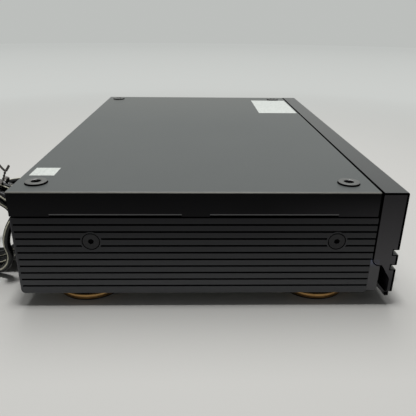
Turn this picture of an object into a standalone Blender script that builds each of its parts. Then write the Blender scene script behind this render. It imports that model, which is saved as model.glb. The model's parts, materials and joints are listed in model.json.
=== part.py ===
"""Compact disc player, full hi-fi width, built as its separate pieces.

Metres, +Z up. X runs across the width, the front faces -Y, and the origin lies on the floor
below the middle of the player. Depths are counted back from the front face and heights up
from the underside of the body; back() and up() turn them into world Y and Z.
"""

import math

import bmesh
import bpy
from mathutils import Matrix, Vector

# Driving sizes of the whole player
BODY_WIDTH = 0.430
BODY_DEPTH = 0.291
BODY_HEIGHT = 0.084
FOOT_HEIGHT = 0.012
KNOB_REACH = 0.012
JACK_REACH = 0.009
GAP = 0.0003
OVERRUN = 0.002
COVER_SHEET = 0.0012
PAN_SHEET = 0.0015
SEAM = 0.0010

SIDE_X = BODY_WIDTH / 2
FRONT_Y = -(BODY_DEPTH + JACK_REACH - KNOB_REACH) / 2
WELD = GAP / 300

# Front panel moulding
PANEL_DEPTH = 0.0188
PANEL_EDGE = 0.0012
FRONT_WALL = 0.0030
LOWER_WALL = 0.0039
TOP_WALL = 0.0030
END_WALL = 0.0030
UPPER_GROOVE_TOP = 0.0374
UPPER_GROOVE_BOTTOM = 0.0332
LOWER_GROOVE_TOP = 0.0243
LOWER_GROOVE_BOTTOM = 0.0205
GROOVE_INSET = 0.0044
STRIP_BACK = 0.0075
LEDGE = 0.0030
PANEL_FOOT = 0.0007
LIP_FRONT = 0.0027
LIP_BACK = 0.0055
LIP_DROP = 0.0030
CHIN_BACK = 0.0126
CHIN_TOP = 0.0053
CHIN_WALL = 0.0034
CHEEK_TURN = 0.0297
CHEEK_RADIUS = 0.0055
CHEEK_NOSE = 0.0113
CHEEK_BASE = 0.0123

# Top cover
FLANGE_DROP = 0.0178
TAB_DROP = 0.0011
FRONT_TAB_END = 0.0500
MIDDLE_TAB_INSET = 0.1462
MIDDLE_TAB_START = BODY_DEPTH - MIDDLE_TAB_INSET
MIDDLE_TAB_LENGTH = 0.0208
MIDDLE_TAB_END = MIDDLE_TAB_START + MIDDLE_TAB_LENGTH
REAR_TAB_LENGTH = 0.0290
REAR_TAB_START = BODY_DEPTH - REAR_TAB_LENGTH
COVER_EDGE = 0.0012

# Ribbed side panels
SIDE_THICKNESS = 0.0060
FLANGE_SHADOW_GAP = 0.0025
SIDE_TOP = BODY_HEIGHT - FLANGE_DROP - FLANGE_SHADOW_GAP
RIB_PITCH = 0.00577
TOP_RIB = 0.0053
RIB_GROOVE = 0.0015
RIB_GROOVE_DEPTH = 0.0018
RIB_GROOVES = 10
LONG_GROOVES = 6
SIDE_CORNER = 0.0030
BLOCK_STEP = 0.0020
BLOCK_BACK = 0.0208
BLOCK_SLOPE = 0.0012
FRONT_SIDE_SCREW_INSET = 0.0489
REAR_SIDE_SCREW_INSET = 0.0575
SIDE_SCREW_DEPTHS = (FRONT_SIDE_SCREW_INSET, BODY_DEPTH - REAR_SIDE_SCREW_INSET)
SIDE_SCREW_HEIGHT = 0.0447
SIDE_SCREW_RADIUS = 0.0062
SIDE_SCREW_ROOM = 0.0007
SIDE_SCREW_HOLE = 0.00215
SIDE_SCREW_HOLE_DEPTH = 0.0014
SIDE_SCREW_HEAD = 0.0016
SIDE_SCREW_SHANK = 0.0018
SIDE_SCREW_LENGTH = 0.0075
BOSS_MARGIN = 0.0011

# Screws in the top cover
TOP_SCREW_INSET = 0.0205
FRONT_TOP_SCREW_INSET = 0.0387
REAR_TOP_SCREW_INSET = 0.0157
TOP_SCREW_DEPTHS = (FRONT_TOP_SCREW_INSET, BODY_DEPTH - REAR_TOP_SCREW_INSET)
TOP_SCREW_RADIUS = 0.00815
TOP_SCREW_HEAD = 0.0013
TOP_SCREW_EDGE = 0.0004
TOP_SCREW_CUP = 0.0040
TOP_SCREW_CUP_FLOOR = 0.0031
TOP_SCREW_CUP_DEPTH = 0.0009
TOP_SCREW_SHANK = 0.0020
TOP_SCREW_LENGTH = 0.0080
CROSS_LENGTH = 0.0046
CROSS_WIDTH = 0.0010
CROSS_DEPTH = 0.0012

# Chassis
PAN_FRONT = 0.0226
PAN_BOTTOM = 0.0010
PAN_WALL = 0.0120
REAR_SHEET_INSET = 0.0006
REAR_SHEET_DROP = 0.0020
REAR_SHEET_TOP = BODY_HEIGHT - REAR_SHEET_DROP
BOARD_POST = 0.0030

# Feet
FOOT_RADIUS = 0.0285
FOOT_SIDE_INSET = 0.0350
FOOT_X = SIDE_X - FOOT_SIDE_INSET
FRONT_FOOT_INSET = 0.0560
REAR_FOOT_INSET = 0.0470
FOOT_DEPTHS = (FRONT_FOOT_INSET, BODY_DEPTH - REAR_FOOT_INSET)
FOOT_RIM = 0.0014
FOOT_HUB_RADIUS = 0.0240
FOOT_HUB_TOP = 0.0082
FOOT_NECK_RADIUS = 0.0150
FOOT_SOLE_INSET = 0.0016
RING_HEIGHT = 0.0046
RING_SHOULDER = 0.0016

# Disc and tray
DISC_RADIUS = 0.0600
DISC_ROOM = 0.0010
SMALL_DISC_RADIUS = 0.0400
TRAY_RIM = 0.0040
TRAY_LIP = 0.0077
TRAY_TAIL = 0.1033
TRAY_HEIGHT = 0.0060
DISC_DEPTH = FRONT_WALL + GAP + TRAY_LIP + DISC_ROOM + DISC_RADIUS
TRAY_HALF_WIDTH = DISC_RADIUS + DISC_ROOM + TRAY_RIM
TRAY_LENGTH = DISC_DEPTH + TRAY_TAIL - FRONT_WALL - GAP
TRAY_LIFT = 0.0146
TRAY_BOTTOM = UPPER_GROOVE_TOP + TRAY_LIFT
TRAY_TOP = TRAY_BOTTOM + TRAY_HEIGHT
TRAY_FLOOR = 0.0025
SMALL_WELL_DROP = 0.0010
TRAY_CORNER = 0.0060
TRAY_SLOT_RADIUS = 0.0190
TRAY_FLANGE = 0.0024
TRAY_FLANGE_LIFT = 0.0010
TRAY_FLANGE_BOTTOM = TRAY_BOTTOM + TRAY_FLANGE_LIFT
TRAY_FLANGE_THICKNESS = 0.0025
TRAY_FLANGE_TOP = TRAY_FLANGE_BOTTOM + TRAY_FLANGE_THICKNESS
TRAY_NOTCH = 0.0300
TRAY_NOTCH_DEPTH = 0.0060
TRAY_NOTCH_INSET = 0.0096
RACK_DROP = 0.0040
DOOR_OVERHANG = 0.0032
DOOR_HALF_WIDTH = TRAY_HALF_WIDTH + DOOR_OVERHANG
DOOR_BOTTOM = TRAY_BOTTOM - RACK_DROP - 2 * GAP
DOOR_RISE = 0.0120
DOOR_TOP = TRAY_TOP + DOOR_RISE
DOOR_RIDGE = 0.0006
DOOR_RIDGE_HEIGHT = 0.0020

# Gearing
MODULE = 0.0010
RACK_INSET = 0.0005
RACK_BACK = TRAY_HALF_WIDTH - RACK_INSET
RACK_DEPTH = 0.0050
RACK_PITCH_LINE = RACK_BACK - RACK_DEPTH
RACK_FRONT = 0.0160
RACK_END_INSET = 0.0033
RACK_END = FRONT_WALL + GAP + TRAY_LENGTH - RACK_END_INSET
LOADING_TEETH = 28
PINION_TEETH = 14
SLED_TEETH = 16
BACKLASH_SHARE = 0.10
ADDENDUM_SHARE = 0.95
DEDENDUM_SHARE = 1.20
PRESSURE_ANGLE = math.radians(20)
LOADING_GEAR_DEPTH = 0.0350
GEAR_TOP = TRAY_BOTTOM - 2 * GAP
GEAR_THICKNESS = 0.0032
GEAR_BOTTOM = GEAR_TOP - GEAR_THICKNESS
GEAR_HUB = 0.0040
POST_RADIUS = 0.0020
TRAIN_ANGLE = math.radians(25)
PULLEY_RADIUS = 0.0120
PULLEY_DROP = 0.0008
PULLEY_TOP = GEAR_BOTTOM - PULLEY_DROP
PULLEY_THICKNESS = 0.0024
PULLEY_BOTTOM = PULLEY_TOP - PULLEY_THICKNESS
PULLEY_GROOVE = 0.0012
MOTOR_PULLEY_RADIUS = 0.0042
MOTOR_OFFSET = 0.0360
MOTOR_DEPTH = 0.0385
MOTOR_RADIUS = 0.0115
MOTOR_BODY = 0.0180
MOTOR_SHAFT = 0.0010
BELT_RADIUS = 0.0006

# Loader frame; its rear stands behind the deck's
DECK_BACK_REACH = 0.0840
DECK_BACK = DISC_DEPTH + DECK_BACK_REACH
LOADER_TAIL = 0.0270
LOADER_FRONT = 0.0245
LOADER_REAR = DECK_BACK + LOADER_TAIL
LOADER_RISE = 0.0052
LOADER_TOP = TRAY_TOP + LOADER_RISE
LOADER_WALL = 0.0052
LOADER_CLEARANCE = 0.0004
LOADER_LEG = 0.0240
LOADER_ARCH = 0.0340
LOADER_ARCH_SLOPE = 0.0060
SHELF_BACK = 0.0500
SHELF_DROP = 0.0005
SHELF_TOP = PULLEY_BOTTOM - SHELF_DROP
SHELF_SHEET = 0.0025
SHELF_BOTTOM = SHELF_TOP - SHELF_SHEET
REAR_BEAM = 0.0050
REAR_BEAM_BOTTOM = 0.0200
REAR_BEAM_TOP = 0.0500

# Disc clamp and its bridge
BRIDGE_BOTTOM = LOADER_TOP + GAP
BRIDGE_SHEET = 0.0015
BRIDGE_HALF_DEPTH = 0.0150
BRIDGE_RIB = 0.0040
BRIDGE_HOLE = 0.0095
CLAMP_RADIUS = 0.0155
CLAMP_THICKNESS = 0.0030
CLAMP_NECK = 0.0088
CLAMP_CAP_RADIUS = 0.0130
CLAMP_CAP = 0.0018
CLAMP_RECESS = 0.0082
CLAMP_RECESS_DEPTH = 0.0026

# Tilting deck with turntable and pickup
DECK_SIDE_ROOM = 0.0030
DECK_HALF_WIDTH = TRAY_HALF_WIDTH - DECK_SIDE_ROOM
DECK_FRONT_REACH = 0.0190
DECK_FRONT = DISC_DEPTH - DECK_FRONT_REACH
DECK_DROP = 0.0120
DECK_BOTTOM = TRAY_BOTTOM - DECK_DROP
DECK_SHEET = 0.0020
DECK_PIVOT_INSET = 0.0040
DECK_PIVOT_DEPTH = DECK_BACK - DECK_PIVOT_INSET
DECK_PIN_RADIUS = 0.0020
DECK_PIN_REACH = 0.0040
DECK_RIM = 0.0050
DECK_RIM_WALL = 0.0020
DECK_CORNER = 0.0080
SLED_WINDOW_HALF = 0.0150
SLED_WINDOW_REACH = 0.0180
SLED_WINDOW_FRONT = DISC_DEPTH + SLED_WINDOW_REACH
SLED_WINDOW_INSET = 0.0120
SLED_WINDOW_BACK = DECK_BACK - SLED_WINDOW_INSET
TURNTABLE_RADIUS = 0.0150
TURNTABLE_LIFT = 0.0030
TURNTABLE_TOP = TRAY_BOTTOM + TURNTABLE_LIFT
TURNTABLE_PLATE = 0.0022
TURNTABLE_CONE = 0.0073
TURNTABLE_CONE_TOP = 0.0056
TURNTABLE_CONE_HEIGHT = 0.0020
TURNTABLE_HUB = 0.0050
SPINDLE_RADIUS = 0.0010
SPINDLE_MOTOR_RADIUS = 0.0130
SPINDLE_MOTOR_HEIGHT = 0.0100
SLED_REACH = 0.0160
SLED_FRONT = DISC_DEPTH + SLED_REACH
SLED_LENGTH = 0.0240
SLED_TRAVEL = 0.0340
SLED_LEFT = 0.0160
SLED_RIGHT = 0.0180
SLED_LIFT = 0.0012
SLED_BOTTOM = DECK_BOTTOM + DECK_SHEET + SLED_LIFT
SLED_THICKNESS = 0.0053
SLED_TOP = SLED_BOTTOM + SLED_THICKNESS
SLED_BRACKET = 0.0270
SLED_CORNER = 0.0020
BRACKET_INSET = 0.0040
LENS_RADIUS = 0.0040
LENS_RING_RADIUS = 0.0064
LENS_HEIGHT = 0.0020
ROD_X = 0.0220
ROD_RADIUS = 0.0015
ROD_LIFT = 0.0028
ROD_HEIGHT = SLED_BOTTOM + ROD_LIFT
ROD_REACH = 0.0110
ROD_FRONT = DISC_DEPTH + ROD_REACH
ROD_END_INSET = 0.0050
ROD_BACK = DECK_BACK - ROD_END_INSET
LUG_LENGTH = 0.0030
LUG_HALF = 0.0035
SLED_RACK_LINE = 0.0240
SLED_RACK_BACK = 0.0175
SLED_RACK_SPARE = 0.0040
SLED_GEAR_REACH = 0.0460
SLED_GEAR_DEPTH = DISC_DEPTH + SLED_GEAR_REACH
SLED_GEAR_LIFT = 0.0002
SLED_GEAR_BOTTOM = SLED_BOTTOM + SLED_GEAR_LIFT
SLED_GEAR_THICKNESS = 0.0036
SLED_GEAR_TOP = SLED_GEAR_BOTTOM + SLED_GEAR_THICKNESS
SLED_MOTOR_RADIUS = 0.0100
SLED_MOTOR_HEIGHT = 0.0160

# Front frame behind the front panel
FRAME_DEPTH = 0.0206
FRAME_SHEET = 0.0015
FRAME_BOTTOM = 0.0030
FRAME_RIM_FRONT = 0.0150
FRAME_WINDOW_SIDE_ROOM = 0.0038
FRAME_WINDOW_HALF = DOOR_HALF_WIDTH + FRAME_WINDOW_SIDE_ROOM
FRAME_WINDOW_LOW_ROOM = 0.0009
FRAME_WINDOW_BOTTOM = DOOR_BOTTOM - FRAME_WINDOW_LOW_ROOM
FRAME_WINDOW_HIGH_ROOM = 0.0040
FRAME_WINDOW_TOP = DOOR_TOP + FRAME_WINDOW_HIGH_ROOM
FRAME_STUD = 0.0030
FRAME_STUD_INSET = 0.0070
DOOR_STUD_REACH = 0.0088
DOOR_STUD_X = DOOR_HALF_WIDTH + DOOR_STUD_REACH
HIGH_STUD_INSET = 0.0650
LOW_STUD_INSET = 0.0200
HIGH_STUD_XS = (HIGH_STUD_INSET - SIDE_X, -DOOR_STUD_X, DOOR_STUD_X)
LOW_STUD_XS = (LOW_STUD_INSET - SIDE_X, 0, SIDE_X - LOW_STUD_INSET)

# Controls; the row's shares are each key's middle and width along it
BUTTON_TRAVEL = 0.0012
BUTTON_PROUD = 0.0010
BUTTON_CORNER = 0.0012
BUTTON_FLANGE = 0.0010
BUTTON_FLANGE_THICKNESS = 0.0012
BUTTON_REAR = 0.0100
STEM_RADIUS = 0.0020
SWITCH_RADIUS = 0.0015
POWER_INSET = 0.0270
POWER_X = POWER_INSET - SIDE_X
POWER_WIDTH = 0.0240
POWER_TALL = 0.0090
LOWER_ROW = 0.0110
LOWER_ROW_TALL = 0.0100
ROW_START_GAP = 0.0048
ROW_START = DOOR_HALF_WIDTH + ROW_START_GAP
ROW_END_INSET = 0.0130
ROW_END = SIDE_X - ROW_END_INSET
ROW_SHARES = {
    "open_button": (0.085, 0.170),
    "skip_back_button": (0.271, 0.140),
    "skip_forward_button": (0.434, 0.140),
    "stop_button": (0.612, 0.170),
    "play_button": (0.860, 0.280),
}
KNOB_INSET = 0.0430
KNOB_X = KNOB_INSET - SIDE_X
KNOB_LIFT = 0.0131
KNOB_HEIGHT = UPPER_GROOVE_TOP + KNOB_LIFT
POWER_LIFT = 0.0175
POWER_HEIGHT = KNOB_HEIGHT + POWER_LIFT
KNOB_RADIUS = 0.0080
KNOB_EDGE = 0.0008
KNOB_SKIRT = 0.0006
KNOB_MARK = 0.0010
KNOB_SHAFT = 0.0030
KNOB_SHAFT_BACK = 0.0120
KNOB_FLUTES = 10
FLUTE_RADIUS = 0.0007
PHONES_INSET = 0.0180
PHONES_X = PHONES_INSET - SIDE_X
PHONES_NUT = 0.0060
PHONES_NUT_THICKNESS = 0.0015
PHONES_BARREL = 0.0045
PHONES_BORE = 0.00325
PHONES_BODY_HALF = 0.0065
PHONES_BODY_FRONT = 0.0060
PHONES_BODY_BACK = 0.0340
PHONES_BORE_BACK = 0.0320
WINDOW_START_GAP = 0.0158
WINDOW_START = DOOR_HALF_WIDTH + WINDOW_START_GAP
WINDOW_END_INSET = 0.0110
WINDOW_END = SIDE_X - WINDOW_END_INSET
WINDOW_LIFT = 0.0076
WINDOW_BOTTOM = UPPER_GROOVE_TOP + WINDOW_LIFT
WINDOW_DROP = 0.0070
WINDOW_TOP = BODY_HEIGHT - WINDOW_DROP
WINDOW_X = (WINDOW_START + WINDOW_END) / 2
WINDOW_HEIGHT = (WINDOW_BOTTOM + WINDOW_TOP) / 2
WINDOW_HALF_WIDTH = (WINDOW_END - WINDOW_START) / 2
WINDOW_HALF_HEIGHT = (WINDOW_TOP - WINDOW_BOTTOM) / 2
WINDOW_CORNER = 0.0020
WINDOW_RIM = 0.0020
WINDOW_RIM_THICKNESS = 0.0012
TUBE_SIDE_ROOM = 0.0080
TUBE_HALF_WIDTH = WINDOW_HALF_WIDTH - TUBE_SIDE_ROOM
TUBE_HEIGHT_ROOM = 0.0040
TUBE_HALF_HEIGHT = WINDOW_HALF_HEIGHT - TUBE_HEIGHT_ROOM
TUBE_FRONT = 0.0060
TUBE_THICKNESS = 0.0060
TUBE_BOARD = 0.0016
TUBE_PIN_HALF = 0.0030

# Electronics and rear sockets
TRANSFORMER_SIDE_INSET = 0.0500
TRANSFORMER_X = TRANSFORMER_SIDE_INSET - SIDE_X
TRANSFORMER_REAR_INSET = 0.0610
TRANSFORMER_DEPTH = BODY_DEPTH - TRANSFORMER_REAR_INSET
CORE_HALF_WIDTH = 0.0300
CORE_HALF_DEPTH = 0.0150
CORE_HEIGHT = 0.0480
COIL_BULGE = 0.0110
COIL_HALF_WIDTH = 0.0180
COIL_MARGIN = 0.0080
CORE_FOOT = 0.0080
CORE_FOOT_SHEET = 0.0020
BOARD_LOADER_GAP = 0.0094
BOARD_LEFT = TRAY_HALF_WIDTH + LOADER_CLEARANCE + LOADER_WALL + BOARD_LOADER_GAP
BOARD_SIDE_INSET = 0.0150
BOARD_RIGHT = SIDE_X - BOARD_SIDE_INSET
BOARD_FRONT = 0.0600
BOARD_REAR_INSET = 0.0110
BOARD_BACK = BODY_DEPTH - BOARD_REAR_INSET
BOARD_HEIGHT = 0.0100
BOARD_SHEET = 0.0016
BIG_CAN_RADIUS = 0.0090
BIG_CAN_HEIGHT = 0.0260
MIDDLE_CAN_RADIUS = 0.0060
MIDDLE_CAN_HEIGHT = 0.0160
SMALL_CAN_RADIUS = 0.0040
SMALL_CAN_HEIGHT = 0.0110
SQUARE_CHIP_HALF = 0.0140
SQUARE_CHIP_HEIGHT = 0.0030
LONG_CHIP_HALF_WIDTH = 0.0060
LONG_CHIP_HALF_DEPTH = 0.0180
LONG_CHIP_HEIGHT = 0.0040
# Places are shares of the board's width and depth
BIG_CAN_SHARES = ((0.14, 0.14), (0.14, 0.24))
MIDDLE_CAN_SHARES = ((0.34, 0.14), (0.46, 0.14))
SMALL_CAN_SHARES = ((0.42, 0.82), (0.52, 0.82))
SQUARE_CHIP_SHARES = ((0.58, 0.41),)
LONG_CHIP_SHARES = ((0.28, 0.55), (0.76, 0.64))
LEFT_JACK_INSET = 0.0840
RIGHT_JACK_INSET = 0.0610
JACK_XS = (SIDE_X - LEFT_JACK_INSET, SIDE_X - RIGHT_JACK_INSET)
JACK_HEIGHT = 0.0240
JACK_BLOCK_HALF = 0.0210
JACK_BLOCK_LENGTH = 0.0170
JACK_BLOCK_FRONT = BODY_DEPTH - JACK_BLOCK_LENGTH
JACK_BLOCK_RISE = 0.0100
JACK_BLOCK_TOP = JACK_HEIGHT + JACK_BLOCK_RISE
JACK_BARREL = 0.00415
JACK_PIN_HOLE = 0.0016
JACK_PIN_DEPTH = 0.0080
JACK_COLLAR = 0.0060
JACK_COLLAR_REACH = 0.0020
OPTICAL_INSET = 0.0300
OPTICAL_X = SIDE_X - OPTICAL_INSET
OPTICAL_HALF = 0.0065
OPTICAL_BLOCK_LENGTH = 0.0150
OPTICAL_BLOCK_FRONT = BODY_DEPTH - OPTICAL_BLOCK_LENGTH
OPTICAL_FACE = 0.0012
OPTICAL_DOOR_HALF = 0.0035
OPTICAL_DOOR_INSET = 0.0008
VENT_COUNT = 9
VENT_PITCH = 0.0070
VENT_HALF_WIDTH = 0.0012
VENT_DROP = 0.0100
VENT_TOP = REAR_SHEET_TOP - VENT_DROP
VENT_LENGTH = 0.0220
VENT_BOTTOM = VENT_TOP - VENT_LENGTH
VENT_X = TRANSFORMER_X

# Mains lead: strain relief, free stretch, wound coil, plug and tie
CORD_DIAMETER = 0.0060
CORD_STEP = 1.7
RELIEF_X = -0.0800
RELIEF_HEIGHT = 0.0380
RELIEF_FLANGE = 0.0070
RELIEF_FLANGE_THICKNESS = 0.0020
RELIEF_WAIST = 0.0050
RELIEF_ROOT = 0.0056
RELIEF_TIP = 0.0040
RELIEF_LENGTH = 0.0270
RELIEF_RINGS = 3
RELIEF_RING_DEPTH = 0.0007
COIL_LAYERS = 4
COIL_TURNS_PER_LAYER = 1.75
COIL_SPACING = 0.0006
COIL_POINTS = 24
COIL_OUTSIDE = 0.0840
COIL_X = -0.1500
COIL_START = 6
COIL_STAND_OFF = 0.0030
FLOOR_SKIN = 0.0002
CORD_ROUTE = (
    (-0.0867, 0.3400, 0.0388),
    (-0.1003, 0.3493, 0.0423),
    (-0.1164, 0.3482, 0.0490),
    (-0.1274, 0.3366, 0.0571),
    (-0.1326, 0.3117, 0.0638),
    (-0.1446, 0.2989, 0.0653),
    (-0.1608, 0.2955, 0.0622),
    (-0.1738, 0.2999, 0.0537),
    (-0.1798, 0.3081, 0.0400),
    (-0.1782, 0.3129, 0.0257),
    (-0.1751, 0.3127, 0.0138),
    (-0.1721, 0.3162, 0.0036),
    (-0.1686, 0.3239, -0.0042),
    (-0.1650, 0.3338, -0.0079),
    (-0.1616, 0.3455, -0.0086),
    (-0.1606, 0.3576, -0.0054),
    (-0.1601, 0.3681, 0.0040),
)
TAIL_RUN = 0.0220
TAIL_RADIUS = 0.0240
PLUG_LENGTH = 0.0300
PLUG_HALF_WIDTH = 0.0120
PLUG_HALF_HEIGHT = 0.0080
PLUG_NECK = 0.0042
PLUG_NECK_LENGTH = 0.0120
PLUG_CORNER_SHARE = 0.35
PLUG_THROAT_SHARES = (0.70, 0.85)
PLUG_WAIST_SHARES = (0.85, 0.92)
BLADE_LENGTH = 0.0170
BLADE_HALF_THICKNESS = 0.00075
BLADE_HALF_HEIGHT = 0.0032
BLADE_SPACING = 0.0127
TIE_ANGLE = math.radians(113)
TIE_THICKNESS = 0.0010
TIE_HALF_WIDTH = 0.0014
TIE_STEM = 0.0060
TIE_ARM = 0.0075
TIE_ARM_SPREAD = 0.0055

# Edges bent by more than this stay sharp: on most pieces, and on tubes of few sides
CREASE = math.radians(35)
RIDGE = math.radians(70)

# Facets around round pieces
FINE = 32
ROUND = 18
SMALL = 14
TINY = 8

# Colour, roughness and metallic value of each finish
FINISHES = {
    "satin_black_steel": ((0.055, 0.058, 0.060), 0.42, 0.0),
    "black_front_plastic": ((0.035, 0.034, 0.036), 0.38, 0.0),
    "ribbed_black_plastic": ((0.028, 0.028, 0.030), 0.45, 0.0),
    "inner_black_plastic": ((0.020, 0.020, 0.021), 0.55, 0.0),
    "black_screw": ((0.045, 0.046, 0.048), 0.35, 0.6),
    "zinc_steel": ((0.45, 0.45, 0.43), 0.40, 1.0),
    "gold_ring": ((0.55, 0.34, 0.12), 0.30, 1.0),
    "foot_plastic": ((0.015, 0.015, 0.016), 0.60, 0.0),
    "smoked_window": ((0.010, 0.010, 0.012), 0.08, 0.0),
    "white_gear": ((0.78, 0.77, 0.72), 0.45, 0.0),
    "black_rubber": ((0.012, 0.012, 0.012), 0.80, 0.0),
    "motor_steel": ((0.50, 0.50, 0.50), 0.30, 1.0),
    "grey_mechanism": ((0.16, 0.16, 0.17), 0.50, 0.0),
    "board_green": ((0.05, 0.22, 0.10), 0.55, 0.0),
    "core_steel": ((0.22, 0.20, 0.18), 0.55, 0.7),
    "tube_glass": ((0.05, 0.09, 0.09), 0.15, 0.0),
    "black_lead": ((0.014, 0.014, 0.015), 0.35, 0.0),
}


def back(depth):
    """World Y of a place that far behind the front face."""
    return FRONT_Y + depth


def up(height):
    """World Z of a place that far above the underside of the body."""
    return FOOT_HEIGHT + height


# Modelling helpers


def in_space(axis, u, v, w):
    """The point whose place along the axis is w; u and v follow in X, Y, Z order."""
    if axis == "X":
        return Vector((w, u, v))
    if axis == "Y":
        return Vector((u, w, v))
    return Vector((u, v, w))


def solid(bm):
    """An unnamed object of the closed shape in bm, its faces turned outwards."""
    bmesh.ops.remove_doubles(bm, verts=bm.verts, dist=WELD)
    bmesh.ops.recalc_face_normals(bm, faces=bm.faces)
    mesh = bpy.data.meshes.new("shape")
    bm.to_mesh(mesh)
    bm.free()
    thing = bpy.data.objects.new("shape", mesh)
    bpy.context.scene.collection.objects.link(thing)
    return thing


def prism(axis, outline, low, high):
    """An outline pushed along an axis from low to high."""
    bm = bmesh.new()
    base = bm.faces.new([bm.verts.new(in_space(axis, u, v, low)) for u, v in outline])
    grown = bmesh.ops.extrude_face_region(bm, geom=[base])
    moved = [part for part in grown["geom"] if isinstance(part, bmesh.types.BMVert)]
    bmesh.ops.translate(bm, verts=moved, vec=in_space(axis, 0, 0, high - low))
    return solid(bm)


def box(x_range, y_range, z_range):
    """A block between two places on each axis."""
    (left, right), (front, rear) = x_range, y_range
    outline = [(left, front), (right, front), (right, rear), (left, rear)]
    return prism("Z", outline, *z_range)


def circle(u, v, radius, count):
    turns = [2 * math.pi * step / count for step in range(count)]
    return [(u + radius * math.cos(a), v + radius * math.sin(a)) for a in turns]


def rod(axis, centre, radius, low, high, count=ROUND):
    """A round bar along an axis."""
    return prism(axis, circle(centre[0], centre[1], radius, count), low, high)


def lathe(axis, centre, profile, count=ROUND, closed=False):
    """A profile of (radius, place along the axis) turned about the axis; closed joins its ends."""
    bm = bmesh.new()
    points = [bm.verts.new(in_space(axis, centre[0] + r, centre[1], w)) for r, w in profile]
    pairs = list(zip(points, points[1:]))
    if closed:
        pairs.append((points[-1], points[0]))
    edges = [bm.edges.new(pair) for pair in pairs]
    bmesh.ops.spin(
        bm,
        geom=points + edges,
        cent=in_space(axis, centre[0], centre[1], 0),
        axis=in_space(axis, 0, 0, 1),
        dvec=(0, 0, 0),
        angle=2 * math.pi,
        steps=count,
        use_merge=True,
    )
    return solid(bm)


def loft(rings):
    """A closed skin through rings of as many points each, capped at both ends."""
    bm = bmesh.new()
    loops = []
    for ring in rings:
        corners = [bm.verts.new(point) for point in ring]
        loops.append([bm.edges.new(pair) for pair in zip(corners, corners[1:] + corners[:1])])
    for first, second in zip(loops, loops[1:]):
        bmesh.ops.bridge_loops(bm, edges=first + second)
    bmesh.ops.holes_fill(bm, edges=bm.edges)
    return solid(bm)


def arc(centre, radius, start, end, steps):
    """Points on a circle from one angle to another, both ends included."""
    angles = [start + (end - start) * step / steps for step in range(steps + 1)]
    return [(centre[0] + radius * math.cos(a), centre[1] + radius * math.sin(a)) for a in angles]


def rounded(outline, radii, steps=3):
    """The outline with corner number i rounded to radii[i]."""
    result = []
    for i, corner in enumerate(outline):
        radius = radii.get(i, 0)
        if not radius:
            result.append(corner)
            continue
        here = Vector(corner)
        before = (Vector(outline[i - 1]) - here).normalized()
        after = (Vector(outline[(i + 1) % len(outline)]) - here).normalized()
        half = before.angle(after) / 2
        centre = here + (before + after).normalized() * (radius / math.sin(half))
        first = here + before * (radius / math.tan(half)) - centre
        last = here + after * (radius / math.tan(half)) - centre
        for step in range(steps + 1):
            spoke = first.slerp(last, step / steps)
            result.append(tuple(centre + spoke.normalized() * radius))
    return result


def rectangle(u, v, half_u, half_v, radius=0, steps=1):
    """A rectangle about a centre, its four corners taken off in as many steps as given."""
    corners = [
        (u - half_u, v - half_v),
        (u + half_u, v - half_v),
        (u + half_u, v + half_v),
        (u - half_u, v + half_v),
    ]
    return rounded(corners, dict.fromkeys(range(4), radius), steps) if radius else corners


def worked(body, tools, operation):
    """The body with every tool cut away from it, or joined to it. The tools are used up."""
    for tool in tools:
        change = body.modifiers.new("work", "BOOLEAN")
        change.operation = operation
        change.solver = "EXACT"
        change.object = tool
    bpy.context.view_layer.update()
    graph = bpy.context.evaluated_depsgraph_get()
    made = bpy.data.meshes.new_from_object(body.evaluated_get(graph))
    body.modifiers.clear()
    spent = body.data
    body.data = made
    bpy.data.meshes.remove(spent)
    for tool in tools:
        bpy.data.objects.remove(tool, do_unlink=True)
    return body


def cut(body, *tools):
    return worked(body, tools, "DIFFERENCE")


def join(body, *others):
    return worked(body, others, "UNION")


def material(name):
    """The finish of that name, made once."""
    if name in bpy.data.materials:
        return bpy.data.materials[name]
    colour, roughness, metallic = FINISHES[name]
    made = bpy.data.materials.new(name)
    made.use_nodes = True
    made.diffuse_color = (*colour, 1)
    shader = made.node_tree.nodes["Principled BSDF"]
    shader.inputs["Base Color"].default_value = (*colour, 1)
    shader.inputs["Roughness"].default_value = roughness
    shader.inputs["Metallic"].default_value = metallic
    return made


def name_piece(thing, name, finish, pivot=None, sharp=CREASE):
    """Name a finished piece, give it its material and put its origin on its pivot."""
    thing.name = name
    thing.data.name = name
    thing.data.materials.clear()
    thing.data.materials.append(material(finish))
    if pivot is not None:
        thing.data.transform(Matrix.Translation(-Vector(pivot)))
        thing.location = pivot
    thing.data.shade_smooth()
    thing.data.set_sharp_from_angle(angle=sharp)
    return thing


# Front panel


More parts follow.
